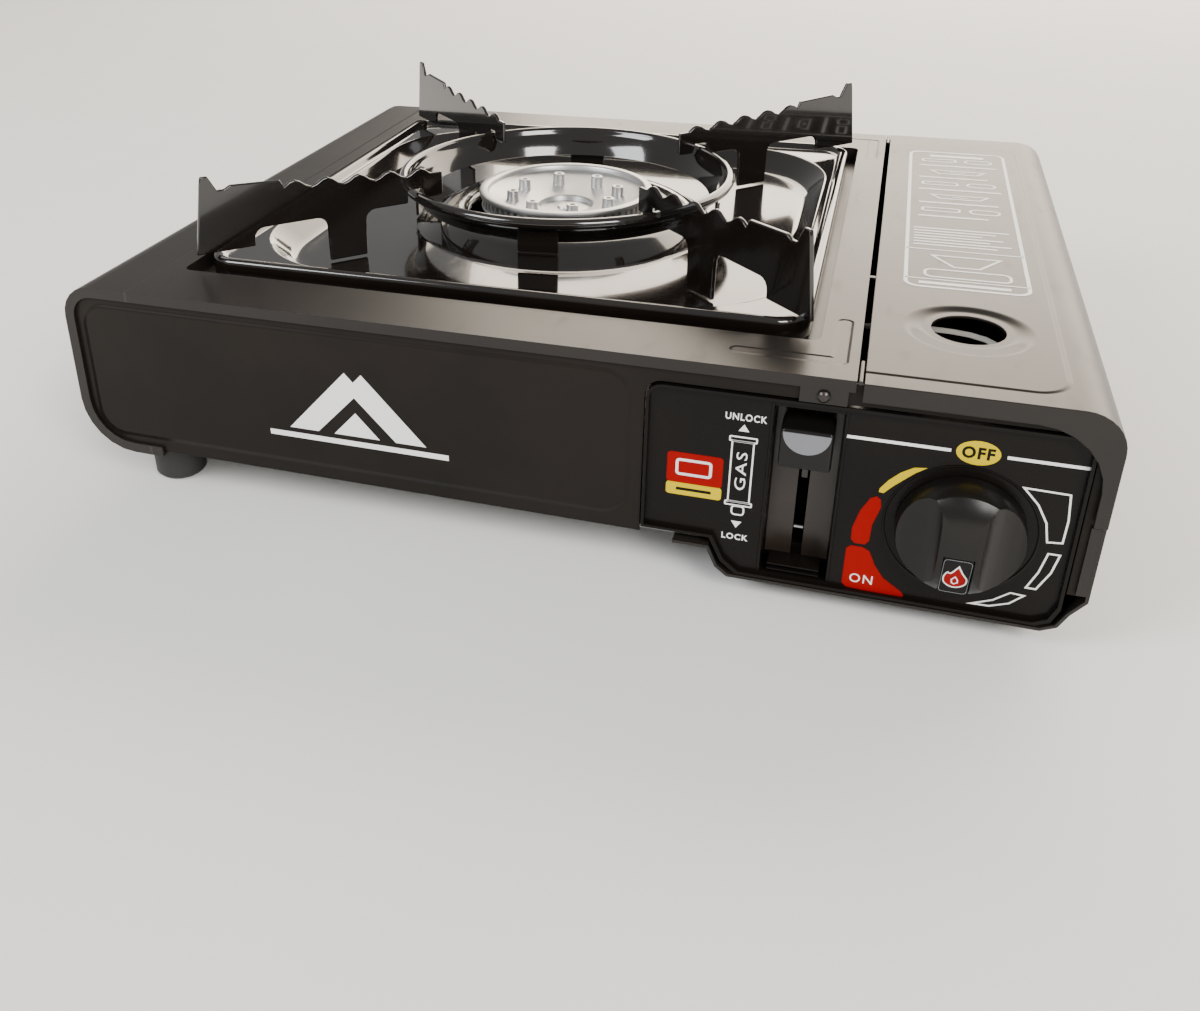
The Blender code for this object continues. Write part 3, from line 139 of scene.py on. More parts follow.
class Recipe:
    """The node tree of one finish while it is written."""

    def __init__(self, name: str) -> None:
        """Start an empty material with its Object coordinates.

        Args:
            name: the material's name.
        """
        self.material = bpy.data.materials.new(name)
        self.material.use_nodes = True
        self.tree = self.material.node_tree
        self.tree.nodes.clear()
        self.place = self.node("ShaderNodeTexCoord").outputs["Object"]
        self.parts = self.node("ShaderNodeSeparateXYZ", {}, {0: self.place}).outputs

    def node(self, kind: str, settings: dict | None = None, sockets: dict | None = None) -> bpy.types.Node:
        """Add one node.

        Args:
            kind: the node's type.
            settings: its own settings, set first.
            sockets: values or links of its input sockets, by name or number.

        Returns:
            The node.
        """
        made = self.tree.nodes.new(kind)
        for key, value in (settings or {}).items():
            setattr(made, key, value)
        for key, value in (sockets or {}).items():
            self.feed(made.inputs[key], value)
        return made

    def feed(self, socket: bpy.types.NodeSocket, value: object) -> None:
        """Link a value or a socket to an input, or set a plain number or colour on it."""
        if isinstance(value, Value):
            self.tree.links.new(value.socket, socket)
        elif isinstance(value, bpy.types.NodeSocket):
            self.tree.links.new(value, socket)
        elif isinstance(value, tuple) and len(value) == 3 and socket.type == "RGBA":
            socket.default_value = (*value, 1.0)
        else:
            socket.default_value = value

    def maths(self, operation: str, *operands: Value | float) -> Value:
        """One Math node."""
        made = self.node("ShaderNodeMath", {"operation": operation}, dict(enumerate(operands)))
        return Value(self, made.outputs[0])

    def axis(self, name: str) -> Value:
        """A coordinate of the surface, in metres."""
        return Value(self, self.parts["XYZ".index(name)])

    def noise(self, scale: float, detail: float = 3.0,
              stretch: tuple[float, float, float] = (1, 1, 1)) -> Value:
        """Soft noise around 0.5.

        Args:
            scale: features per metre.
            detail: octaves.
            stretch: how each axis is scaled first.

        Returns:
            The noise.
        """
        where = self.node("ShaderNodeMapping", {}, {"Vector": self.place, "Scale": stretch}).outputs[0]
        made = self.node("ShaderNodeTexNoise", {}, {"Vector": where, "Scale": scale, "Detail": detail})
        return Value(self, made.outputs[0])

    def cells(self, scale: float) -> Value:
        """Distance to the nearest of scattered points."""
        made = self.node("ShaderNodeTexVoronoi", {}, {"Vector": self.place, "Scale": scale})
        return Value(self, made.outputs["Distance"])

    def blend(self, mask: Value, low: object, high: object) -> bpy.types.NodeSocket:
        """Mix two colours by a mask."""
        made = self.node("ShaderNodeMix", {"data_type": "RGBA"}, {0: mask, 6: low, 7: high})
        return made.outputs[2]

    def bump(self, height: Value) -> bpy.types.NodeSocket:
        """A normal from a height in metres."""
        made = self.node("ShaderNodeBump", {}, {"Height": height, "Distance": 1.0, "Strength": 1.0})
        return made.outputs[0]

    def finish(self, sockets: dict) -> bpy.types.Material:
        """Close the recipe with its Principled shader.

        Args:
            sockets: the shader's inputs by name.

        Returns:
            The material.
        """
        shader = self.node("ShaderNodeBsdfPrincipled", {}, sockets)
        self.node("ShaderNodeOutputMaterial", {}, {0: shader.outputs[0]})
        return self.material


# ---------------------------------------------------------------- finishes


@dataclass(frozen=True)
class Pad:
    """A rounded rectangle on a sheet, by its low and high corners."""

    low: tuple[float, float]
    high: tuple[float, float]
    corner: float

    def distance(self, across: Value, up: Value) -> Value:
        """Signed distance from the rectangle's edge, below 0 inside."""
        middle = ((self.low[0] + self.high[0]) / 2, (self.low[1] + self.high[1]) / 2)
        half = ((self.high[0] - self.low[0]) / 2, (self.high[1] - self.low[1]) / 2)
        reach_x = (across - middle[0]).size() - (half[0] - self.corner)
        reach_y = (up - middle[1]).size() - (half[1] - self.corner)
        out_x = reach_x.most(0.0)
        out_y = reach_y.most(0.0)
        return (out_x * out_x + out_y * out_y).root() + reach_x.most(reach_y).least(0.0) - self.corner


@dataclass(frozen=True)
class Relief:
    """A pressed feature: pads taken together, raised by a height over a soft edge."""

    pads: tuple[Pad, ...]
    height: float
    soft: float
    axes: str = "XY"

    def build(self, recipe: Recipe) -> Value:
        """Height of the feature at each point of the surface, in metres."""
        across = recipe.axis(self.axes[0])
        up = recipe.axis(self.axes[1])
        nearest = self.pads[0].distance(across, up)
        for pad in self.pads[1:]:
            nearest = nearest.least(pad.distance(across, up))
        return (-nearest).ease(-self.soft / 2, self.soft / 2) * self.height


@dataclass(frozen=True)
class Finish:
    """A finish with the little variation that a real surface has."""

    name: str
    colour: Colour = (0.5, 0.5, 0.5)
    shade: Colour = (0.4, 0.4, 0.4)
    roughness: float = 0.4
    metallic: float = 0.0
    coat: float = 0.0
    ior: float = 1.5
    grain: float = 900.0
    depth: float = 0.000004
    swell: float = 0.0
    reliefs: tuple[Relief, ...] = ()

    def material(self) -> bpy.types.Material:
        """The finish's material, made once."""
        known = bpy.data.materials.get(self.name)
        if known is not None:
            return known
        recipe = Recipe(self.name)
        cloud = recipe.noise(18.0, 4.0)
        fine = recipe.noise(self.grain, 2.0)
        marks = recipe.noise(160.0, 5.0, (1.0, 0.35, 1.0)).ease(0.56, 0.74)
        height = fine * self.depth
        if self.swell:
            height = height + recipe.noise(55.0, 1.0) * self.swell
        for relief in self.reliefs:
            height = height + relief.build(recipe)
        rough = (cloud - 0.5) * 0.10 + marks * 0.05 + self.roughness
        return recipe.finish({
            "Base Color": recipe.blend(cloud.ease(0.3, 0.7), self.shade, self.colour),
            "Roughness": rough.most(0.02),
            "Metallic": self.metallic,
            "IOR": self.ior,
            "Coat Weight": self.coat,
            "Coat Roughness": 0.03,
            "Normal": recipe.bump(height),
        })


@dataclass(frozen=True)
class TurnedMetal:
    """Bright metal with fine rings around an upright axis and a cast grain."""

    name: str
    centre: tuple[float, float]
    colour: Colour
    roughness: float = 0.28
    pitch: float = 0.0006

    def material(self) -> bpy.types.Material:
        """The finish's material, made once."""
        known = bpy.data.materials.get(self.name)
        if known is not None:
            return known
        recipe = Recipe(self.name)
        x = recipe.axis("X") - self.centre[0]
        y = recipe.axis("Y") - self.centre[1]
        rings = ((x * x + y * y).root() * (2 * math.pi / self.pitch)).wave()
        cast = recipe.noise(1400.0, 3.0)
        patch = recipe.noise(60.0, 4.0)
        shade = tuple(part * 0.72 for part in self.colour)
        return recipe.finish({
            "Base Color": recipe.blend(patch.ease(0.25, 0.75), shade, self.colour),
            "Roughness": (patch - 0.5) * 0.2 + self.roughness,
            "Metallic": 1.0,
            "Normal": recipe.bump(rings * 0.0000012 + cast * 0.000012),
        })


@dataclass(frozen=True)
class Galvanised:
    """Zinc-coated sheet with its spangle."""

    name: str = "galvanised_sheet"
    colour: Colour = (0.42, 0.42, 0.41)

    def material(self) -> bpy.types.Material:
        """The finish's material, made once."""
        known = bpy.data.materials.get(self.name)
        if known is not None:
            return known
        recipe = Recipe(self.name)
        spangle = recipe.cells(160.0)
        streak = recipe.noise(300.0, 3.0, (0.1, 1.0, 1.0))
        dark = tuple(part * 0.7 for part in self.colour)
        return recipe.finish({
            "Base Color": recipe.blend(spangle.ease(0.1, 0.7), self.colour, dark),
            "Roughness": spangle * 0.2 + streak * 0.1 + 0.25,
            "Metallic": 1.0,
            "Normal": recipe.bump(streak * 0.000006),
        })


# ---------------------------------------------------------------- modelling


def arc(centre: tuple[float, float], radius: float, start: float, end: float, steps: int) -> Outline:
    """Points along an arc, angles in degrees, both ends included."""
    turns = [math.radians(start + (end - start) * step / steps) for step in range(steps + 1)]
    return [(centre[0] + radius * math.cos(turn), centre[1] + radius * math.sin(turn)) for turn in turns]


def rounded(low: tuple[float, float], high: tuple[float, float], radius: float, steps: int = 6) -> Outline:
    """Outline of a rectangle with round corners."""
    centres = ((high[0] - radius, high[1] - radius), (low[0] + radius, high[1] - radius),
               (low[0] + radius, low[1] + radius), (high[0] - radius, low[1] + radius))
    outline: Outline = []
    for quarter, centre in enumerate(centres):
        outline += arc(centre, radius, 90 * quarter, 90 * quarter + 90, steps)
    return outline


def soften(points: Outline, per_span: int = 4) -> Outline:
    """More points on a Catmull-Rom curve through an open line of points."""
    route = [Vector(point) for point in points]
    route = [2 * route[0] - route[1], *route, 2 * route[-1] - route[-2]]
    result: Outline = []
    for before, start, end, after in zip(route, route[1:], route[2:], route[3:]):
        for step in range(per_span):
            t = step / per_span
            place = 0.5 * (2 * start + (end - before) * t
                           + (2 * before - 5 * start + 4 * end - after) * t ** 2
                           + (3 * start - before - 3 * end + after) * t ** 3)
            result.append((place.x, place.y))
    return [*result, (route[-2].x, route[-2].y)]


def settle(name: str, work: BMesh, body: str, finish: object, replaces: tuple[str, ...] = (),
           crease: float = CREASE, turn_out: bool = True) -> bpy.types.Object:
    """Make a bmesh a finished piece of the stove.

    Args:
        name: the piece's name.
        work: its mesh, freed here.
        body: the body it rides on.
        finish: an object with a material() method.
        replaces: the CAD nodes that it stands for.
        crease: edges sharper than this many degrees stay sharp.
        turn_out: whether its normals are worked out anew.

    Returns:
        The piece.
    """
    bmesh.ops.remove_doubles(work, verts=work.verts, dist=MERGE)
    if turn_out:
        bmesh.ops.recalc_face_normals(work, faces=work.faces)
    mesh = bpy.data.meshes.new(name)
    work.to_mesh(mesh)
    work.free()
    mesh.shade_smooth()
    mesh.set_sharp_from_angle(angle=math.radians(crease))
    mesh.materials.append(finish.material())
    piece = bpy.data.objects.new(name, mesh)
    bpy.context.scene.collection.objects.link(piece)
    piece.modifiers.new("face normals", "WEIGHTED_NORMAL").keep_sharp = True
    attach(piece, body)
    if replaces:
        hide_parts(*replaces)
    return piece


def round_edges(work: BMesh, width: float, segments: int = 2, above: float = CREASE) -> None:
    """Bevel a mesh's sharp edges."""
    sharp = [edge for edge in work.edges
             if len(edge.link_faces) == 2 and edge.calc_face_angle(0.0) > math.radians(above)]
    bmesh.ops.bevel(work, geom=sharp, offset=width, segments=segments, profile=0.5, affect="EDGES",
                    material=-1, clamp_overlap=True)


def refined(node: str, finish: object, edge: float = 0.0, segments: int = 2, crease: float = CREASE,
            flat: bool = True) -> bpy.types.Object:
    """A merged, smooth and softly edged copy of a CAD node that takes its place.

    Args:
        node: the CAD node.
        finish: its finish.
        edge: the bevel's width, or 0 for none.
        segments: the bevel's segments.
        crease: edges sharper than this many degrees stay sharp.
        flat: whether flat faces are joined before the bevel.

    Returns:
        The piece.
    """
    source = bpy.data.objects[node]
    work = bmesh.new()
    work.from_mesh(source.data)
    bmesh.ops.remove_doubles(work, verts=work.verts, dist=MERGE)
    if flat:
        bmesh.ops.dissolve_limit(work, angle_limit=math.radians(FLAT), verts=work.verts, edges=work.edges)
    if edge:
        round_edges(work, edge, segments, crease)
    return settle(f"{node}.shown", work, source["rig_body"], finish, (node,), crease)


def lathe(work: BMesh, profile: Outline, centre: Vector, axis: Vector = Vector((0, 0, 1)),
          steps: int = 64) -> None:
    """Turn a profile about an axis through a centre.

    Args:
        work: the mesh that it is added to.
        profile: radius and height of its points.
        centre: where height 0 lies.
        axis: the direction of its heights.
        steps: faces around.
    """
    points = [work.verts.new((radius, 0.0, height)) for radius, height in profile]
    edges = [work.edges.new(pair) for pair in zip(points, points[1:])]
    bmesh.ops.spin(work, geom=points + edges, cent=(0, 0, 0), axis=(0, 0, 1), angle=2 * math.pi,
                   steps=steps, use_merge=True)
    linked = set(points)
    queue = list(points)
    while queue:
        for bond in queue.pop().link_edges:
            for vert in bond.verts:
                if vert not in linked:
                    linked.add(vert)
                    queue.append(vert)
    turn = Vector((0, 0, 1)).rotation_difference(axis).to_matrix().to_4x4()
    bmesh.ops.transform(work, matrix=Matrix.Translation(centre) @ turn, verts=list(linked))


@dataclass(frozen=True)
class Plane:
    """A flat drawing plane: outlines are drawn along across and up, and rise along their cross product."""

    origin: Vector
    across: Vector = Vector((1, 0, 0))
    up: Vector = Vector((0, 0, 1))

    @property
    def out(self) -> Vector:
        """The direction that faces the viewer of the drawing."""
        return self.across.cross(self.up)

    def at(self, u: float, v: float, lift: float = 0.0) -> Vector:
        """A point of the drawing in the frame."""
        return self.origin + self.across * u + self.up * v + self.out * lift

    def slab(self, work: BMesh, outline: Outline, low: float, high: float, edge: float = 0.0) -> list[BMFace]:
        """Fill an outline and extrude it between two heights over the plane.

        Args:
            work: the mesh that it is added to.
            outline: the closed outline.
            low: height of its underside.
            high: height of its face.
            edge: a bevel's width for its rim, or 0.

        Returns:
            Its faces before the bevel.
        """
        verts = [work.verts.new(self.at(u, v, low)) for u, v in outline]
        base = work.faces.new(verts)
        made = bmesh.ops.extrude_face_region(work, geom=[base])["geom"]
        moved = [item for item in made if isinstance(item, BMVert)]
        bmesh.ops.translate(work, verts=moved, vec=self.out * (high - low))
        if not base.is_valid:
            work.faces.new(verts)
        faces = [face for face in work.faces if any(vert in moved for vert in face.verts)]
        if edge:
            rim = {bond for vert in (*moved, *verts) for bond in vert.link_edges
                   if len(bond.link_faces) == 2 and bond.calc_face_angle(0.0) > math.radians(RIM_ANGLE)}
            bmesh.ops.recalc_face_normals(work, faces=work.faces)
            bmesh.ops.bevel(work, geom=list(rim), offset=edge, segments=2, profile=0.5, affect="EDGES",
                            material=-1, clamp_overlap=True)
        return faces

    def frame(self, work: BMesh, outline: Outline, width: float, low: float, high: float) -> None:
        """Extrude only a band of an outline, inside its edge."""
        verts = [work.verts.new(self.at(u, v, low)) for u, v in outline]
        inner = work.faces.new(verts)
        inner.normal_update()
        bands = bmesh.ops.inset_region(work, faces=[inner], thickness=width, use_boundary=True,
                                       use_even_offset=True)["faces"]
        bmesh.ops.delete(work, geom=[inner], context="FACES_ONLY")
        made = bmesh.ops.extrude_face_region(work, geom=bands)["geom"]
        moved = [item for item in made if isinstance(item, BMVert)]
        bmesh.ops.translate(work, verts=moved, vec=self.out * (high - low))


@dataclass
class Print:
    """Ink of one colour on a plane, gathered in one mesh."""

    plane: Plane
    low: float = 0.02 * MM
    high: float = 0.10 * MM
    work: BMesh = field(default_factory=bmesh.new)

    def fill(self, outline: Outline) -> None:
        """A filled outline in millimetres."""
        self.plane.slab(self.work, [(u * MM, v * MM) for u, v in outline], self.low, self.high)

    def band(self, outline: Outline, width: float) -> None:
        """A closed line in millimetres."""
        self.plane.frame(self.work, [(u * MM, v * MM) for u, v in outline], width * MM, self.low, self.high)

    def bar(self, left: float, low: float, right: float, high: float) -> None:
        """A filled rectangle in millimetres."""
        self.fill([(left, low), (right, low), (right, high), (left, high)])

    def letters(self, text: str, middle: tuple[float, float], size: tuple[float, float], turn: float = 0.0,
                weight: float = 0.02) -> None:
        """Generic lettering such as a switch position.

        Args:
            text: the words.
            middle: where their middle lies, in millimetres.
            size: width and height of the words in millimetres.
            turn: rotation in degrees.
            weight: how far the strokes are fattened.
        """
        curve = bpy.data.curves.new(text, "FONT")
        curve.body = text
        curve.size = 1.0
        curve.space_character = 1.15
        curve.offset = weight
        curve.extrude = 0.5
        curve.resolution_u = 3
        holder = bpy.data.objects.new(text, curve)
        bpy.context.scene.collection.objects.link(holder)
        bpy.context.view_layer.update()
        mesh = bpy.data.meshes.new_from_object(holder.evaluated_get(bpy.context.evaluated_depsgraph_get()))
        bpy.data.objects.remove(holder)
        low = [min(vert.co[axis] for vert in mesh.vertices) for axis in range(2)]
        high = [max(vert.co[axis] for vert in mesh.vertices) for axis in range(2)]
        fit = Matrix.Diagonal((size[0] * MM / (high[0] - low[0]), size[1] * MM / (high[1] - low[1]),
                               self.high - self.low, 1.0))
        centred = Matrix.Translation((-(low[0] + high[0]) / 2, -(low[1] + high[1]) / 2, 0.0))
        basis = Matrix((self.plane.across, self.plane.up, self.plane.out)).transposed().to_4x4()
        place = Matrix.Translation(self.plane.at(middle[0] * MM, middle[1] * MM, (self.low + self.high) / 2))
        mesh.transform(place @ basis @ Matrix.Rotation(math.radians(turn), 4, "Z") @ fit @ centred)
        self.work.from_mesh(mesh)
        bpy.data.meshes.remove(mesh)

    def done(self, name: str, body: str, finish: object) -> bpy.types.Object:
        """Turn the ink into a piece."""
        return settle(name, self.work, body, finish)


# ---------------------------------------------------------------- the stove's finishes


class Ink(Enum):
    """Printed colours."""

    WHITE = (0.92, 0.92, 0.90)
    RED = (0.28, 0.0, 0.0)
    YELLOW = (0.66, 0.49, 0.0)
    BLACK = (0.006, 0.006, 0.006)
    SILVER = (0.86, 0.84, 0.82)

    def finish(self) -> Finish:
        """The ink as a finish."""
        shade = tuple(part * 0.92 for part in self.value)
        return Finish(f"ink_{self.name.lower()}", self.value, shade, 0.34, depth=0.000001, ior=1.2)


ENAMEL = Finish("black_enamel", (0.0080, 0.0058, 0.0045), (0.0055, 0.0042, 0.0035), 0.11, coat=0.5, ior=1.60,
                grain=420.0, depth=0.000003, swell=0.00002)
PLASTIC = Finish("gloss_black_plastic", (0.0065, 0.0050, 0.0042), (0.0045, 0.0036, 0.0032), 0.24, ior=1.24,
                 grain=1500.0, depth=0.000002)
KNOB_PLASTIC = Finish("satin_black_plastic", (0.0075, 0.0062, 0.0055), (0.0055, 0.0046, 0.0042), 0.30,
                      ior=1.36, grain=1500.0, depth=0.000003)
# Lighter plastic for the lever channel's floor: painted glare, since the deep channel itself falls into
# shade.
CHANNEL_PAINTED_GLARE = Finish("channel_painted_glare", (0.030, 0.022, 0.017), (0.022, 0.017, 0.013), 0.30, grain=1500.0)
GREY_PLASTIC = Finish("grey_plastic", (0.20, 0.205, 0.22), (0.16, 0.165, 0.18), 0.38, grain=1500.0)
DARK_STEEL = Finish("dark_steel", (0.085, 0.080, 0.075), (0.055, 0.050, 0.048), 0.36, metallic=1.0)
RUBBER = Finish("black_rubber", (0.020, 0.019, 0.018), (0.013, 0.012, 0.012), 0.62, grain=1100.0,
                depth=0.00001)
BRASS = Finish("brass", (0.60, 0.42, 0.16), (0.45, 0.30, 0.10), 0.30, metallic=1.0)
ZINC = Finish("bright_zinc", (0.62, 0.62, 0.61), (0.48, 0.48, 0.48), 0.28, metallic=1.0)
CERAMIC = Finish("white_ceramic", (0.80, 0.79, 0.75), (0.70, 0.69, 0.65), 0.18, coat=0.6)
SLEEVE = Finish("white_sleeve", (0.66, 0.63, 0.57), (0.56, 0.53, 0.48), 0.55)
CASTING = Finish("die_casting", (0.60, 0.60, 0.59), (0.44, 0.44, 0.43), 0.42, metallic=1.0, depth=0.00002)
SHEET = Galvanised()


def paint(name: str, *reliefs: Relief, ior: float = 1.41) -> Finish:
    """The casing's satin black paint with the pressed features of one sheet."""
    return Finish(name, (0.014, 0.0112, 0.0092), (0.010, 0.0082, 0.0070), 0.33, grain=1300.0, depth=0.000004,
                  swell=0.000006, ior=ior, reliefs=reliefs)


# ---------------------------------------------------------------- casing


@dataclass
class Datum:
    """Where drawings of the casing are measured from: its left side, its front and the ground."""

    left: float
    front: float
    top: float

    @classmethod
    def of_casing(cls) -> Datum:
        """Read the datum from the casing's sheet."""
        low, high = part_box("main_shell")
        return cls(low.x, low.y, high.z)

    def pad(self, low: tuple[float, float], high: tuple[float, float], corner: float,
            upright: bool = False) -> Pad:
        """A pad drawn in millimetres on the top, or on the front if upright."""
        base = 0.0 if upright else self.front
        return Pad((self.left + low[0] * MM, base + low[1] * MM),
                   (self.left + high[0] * MM, base + high[1] * MM), corner * MM)

    def front_plane(self, behind: float = 0.0) -> Plane:
        """The front as a drawing plane, from the casing's left foot corner."""
        return Plane(Vector((self.left, self.front + behind, 0.0)))

    def top_plane(self) -> Plane:
        """The top as a drawing plane, from the casing's front left corner."""
        return Plane(Vector((self.left, self.front, self.top)), Vector((1, 0, 0)), Vector((0, 1, 0)))


@dataclass
class Casing:
    """The painted sheets, the base and the feet."""

    datum: Datum
    bead: float = 2.1
    edge: float = 0.35 * MM

    def build(self) -> None:
        """Build and dress the casing."""
        self.build_top()
        self.build_front()
        self.build_rest()
        self.build_emblem()

    def build_top(self) -> None:
        """The top sheet with its two corner beads and the crease on the left."""
        pad = self.datum.pad
        corner = Relief((pad((263.8, 10.2), (268.2, 44.0), self.bead),
                         pad((234.0, 10.2), (268.2, 14.6), self.bead)), -0.7 * MM, 1.3 * MM)
        rear = Relief((pad((263.8, 237.0), (268.2, 271.0), self.bead),
                       pad((234.0, 266.6), (268.2, 271.0), self.bead)), -0.7 * MM, 1.3 * MM)
        raised = Relief((pad((27.0, -60.0), (420.0, 420.0), 1.0),), 0.5 * MM, 1.2 * MM)
        refined("main_shell", paint("top_paint", corner, rear, raised), self.edge)

    def build_front(self) -> None:
        """The front sheet with its long pressed field."""
        field_pad = self.datum.pad((7.0, 24.0), (206.0, 75.0), 9.0, True)
        field_relief = Relief((field_pad,), 0.7 * MM, 2.2 * MM, "XZ")
        refined("front_panel", paint("front_paint", field_relief, ior=1.22), 0.2 * MM)

    def build_rest(self) -> None:
        """Rear sheet, bay, base, partition, feet and hinge pins."""
        plain = paint("plain_paint")
        refined("rear_panel", plain, 0.2 * MM)
        refined("bay_shell", plain, 0.3 * MM, crease=50.0)
        refined("base_plate", SHEET)
        refined("partition", SHEET)
        refined("bezel_screw", DARK_STEEL, 0.15 * MM)
        for place in CORNERS:
            refined(f"foot_{place}", RUBBER, 0.3 * MM)
        for place in ("front", "rear"):
            refined(f"lid_hinge_pin_{place}", DARK_STEEL)

    def build_emblem(self) -> None:
        """A white tent on a ground line, in the middle of the front's field."""
        ink = Print(self.datum.front_plane(1.3 * MM), 0.0, 0.12 * MM)
        ink.fill([(86, 37.5), (108.4, 61.5), (111.5, 58.2), (114.6, 61.5), (137, 37.5), (126, 37.5),
                  (111.5, 52.5), (97, 37.5)])
        ink.fill([(103, 37.5), (111.5, 46.6), (120, 37.5)])
        ink.bar(78, 33.6, 145, 35.6)
        ink.done("front_emblem", "casing", Ink.WHITE.finish())


# ---------------------------------------------------------------- lid


@dataclass
class Lid:
    """The lid over the canister bay, with its printed panel and round window."""

    datum: Datum
    window: tuple[float, float] = (302.6, 46.5)
    window_radius: float = 11.0
    dish_radius: float = 16.5
    bars: int = 7

    def build(self) -> None:
        """Build and dress the lid."""
        self.build_cover()
        self.build_print()

    def build_cover(self) -> None:
        """The painted cover with its raised field and the window's dished edge."""
        x, y = self.window
        raised = Relief((self.datum.pad((200.0, 7.0), (328.5, 266.0), 10.0),), 0.7 * MM, 2.0 * MM)
        reach = self.dish_radius
        around = self.datum.pad((x - reach, y - reach), (x + reach, y + reach), reach - 0.01)
        dish = Relief((around,), -2.2 * MM, 6.5 * MM)
        refined("lid", paint("lid_paint", raised, dish), 0.35 * MM)

    def build_print(self) -> None:
        """A white frame around plain pictograms and bars."""
        ink = Print(self.datum.top_plane(), 0.02 * MM, 0.08 * MM)
        ink.band(rounded((282.6, 79.8), (323.5, 256.3), 5.0), 1.3)
        left, right = 287.0, 319.5
        ink.bar(291.5, 247.5, 314.5, 250.7)
        for row, (low, share) in enumerate(((232, 1.0), (213, 0.86), (195, 1.0), (176, 0.94), (158, 0.8))):
            ink.bar(left, low, left + (right - left) * share, low + 1.6)
            self.draw_row(ink, row, low + 9.5)
        for row in range(self.bars):
            ink.bar(left - 1.5, 142.5 - row * 3.2, right - (row * 7 % 5) * 2.4, 143.7 - row * 3.2)
        ink.bar(283.0, 118.2, 323.2, 119.0)
        ink.band([(291, 113), (316, 113), (308, 101), (299, 101)], 1.0)
        ink.band(rounded((289, 90), (318, 98.5), 3.0, 3), 1.0)
        ink.bar(283.0, 87.6, 323.2, 88.3)
        ink.bar(287.5, 83.2, 317, 85.4)
        ink.done("lid_print", "lid", Ink.WHITE.finish())

    @staticmethod
    def draw_row(ink: Print, row: int, middle: float) -> None:
        """One row of outlined canisters and pans."""
        if row % 2 == 0:
            ink.band(rounded((288, middle - 2.6), (303, middle + 2.6), 1.6, 3), 1.0)
            ink.band(rounded((306, middle - 3.2), (318, middle + 3.2), 3.0, 3), 1.0)
        else:
            ink.band([(291, middle + 3), (315, middle + 3), (311, middle - 3), (295, middle - 3)], 1.0)
            ink.bar(300, middle - 0.4, 306, middle + 0.4)


# ---------------------------------------------------------------- pan support


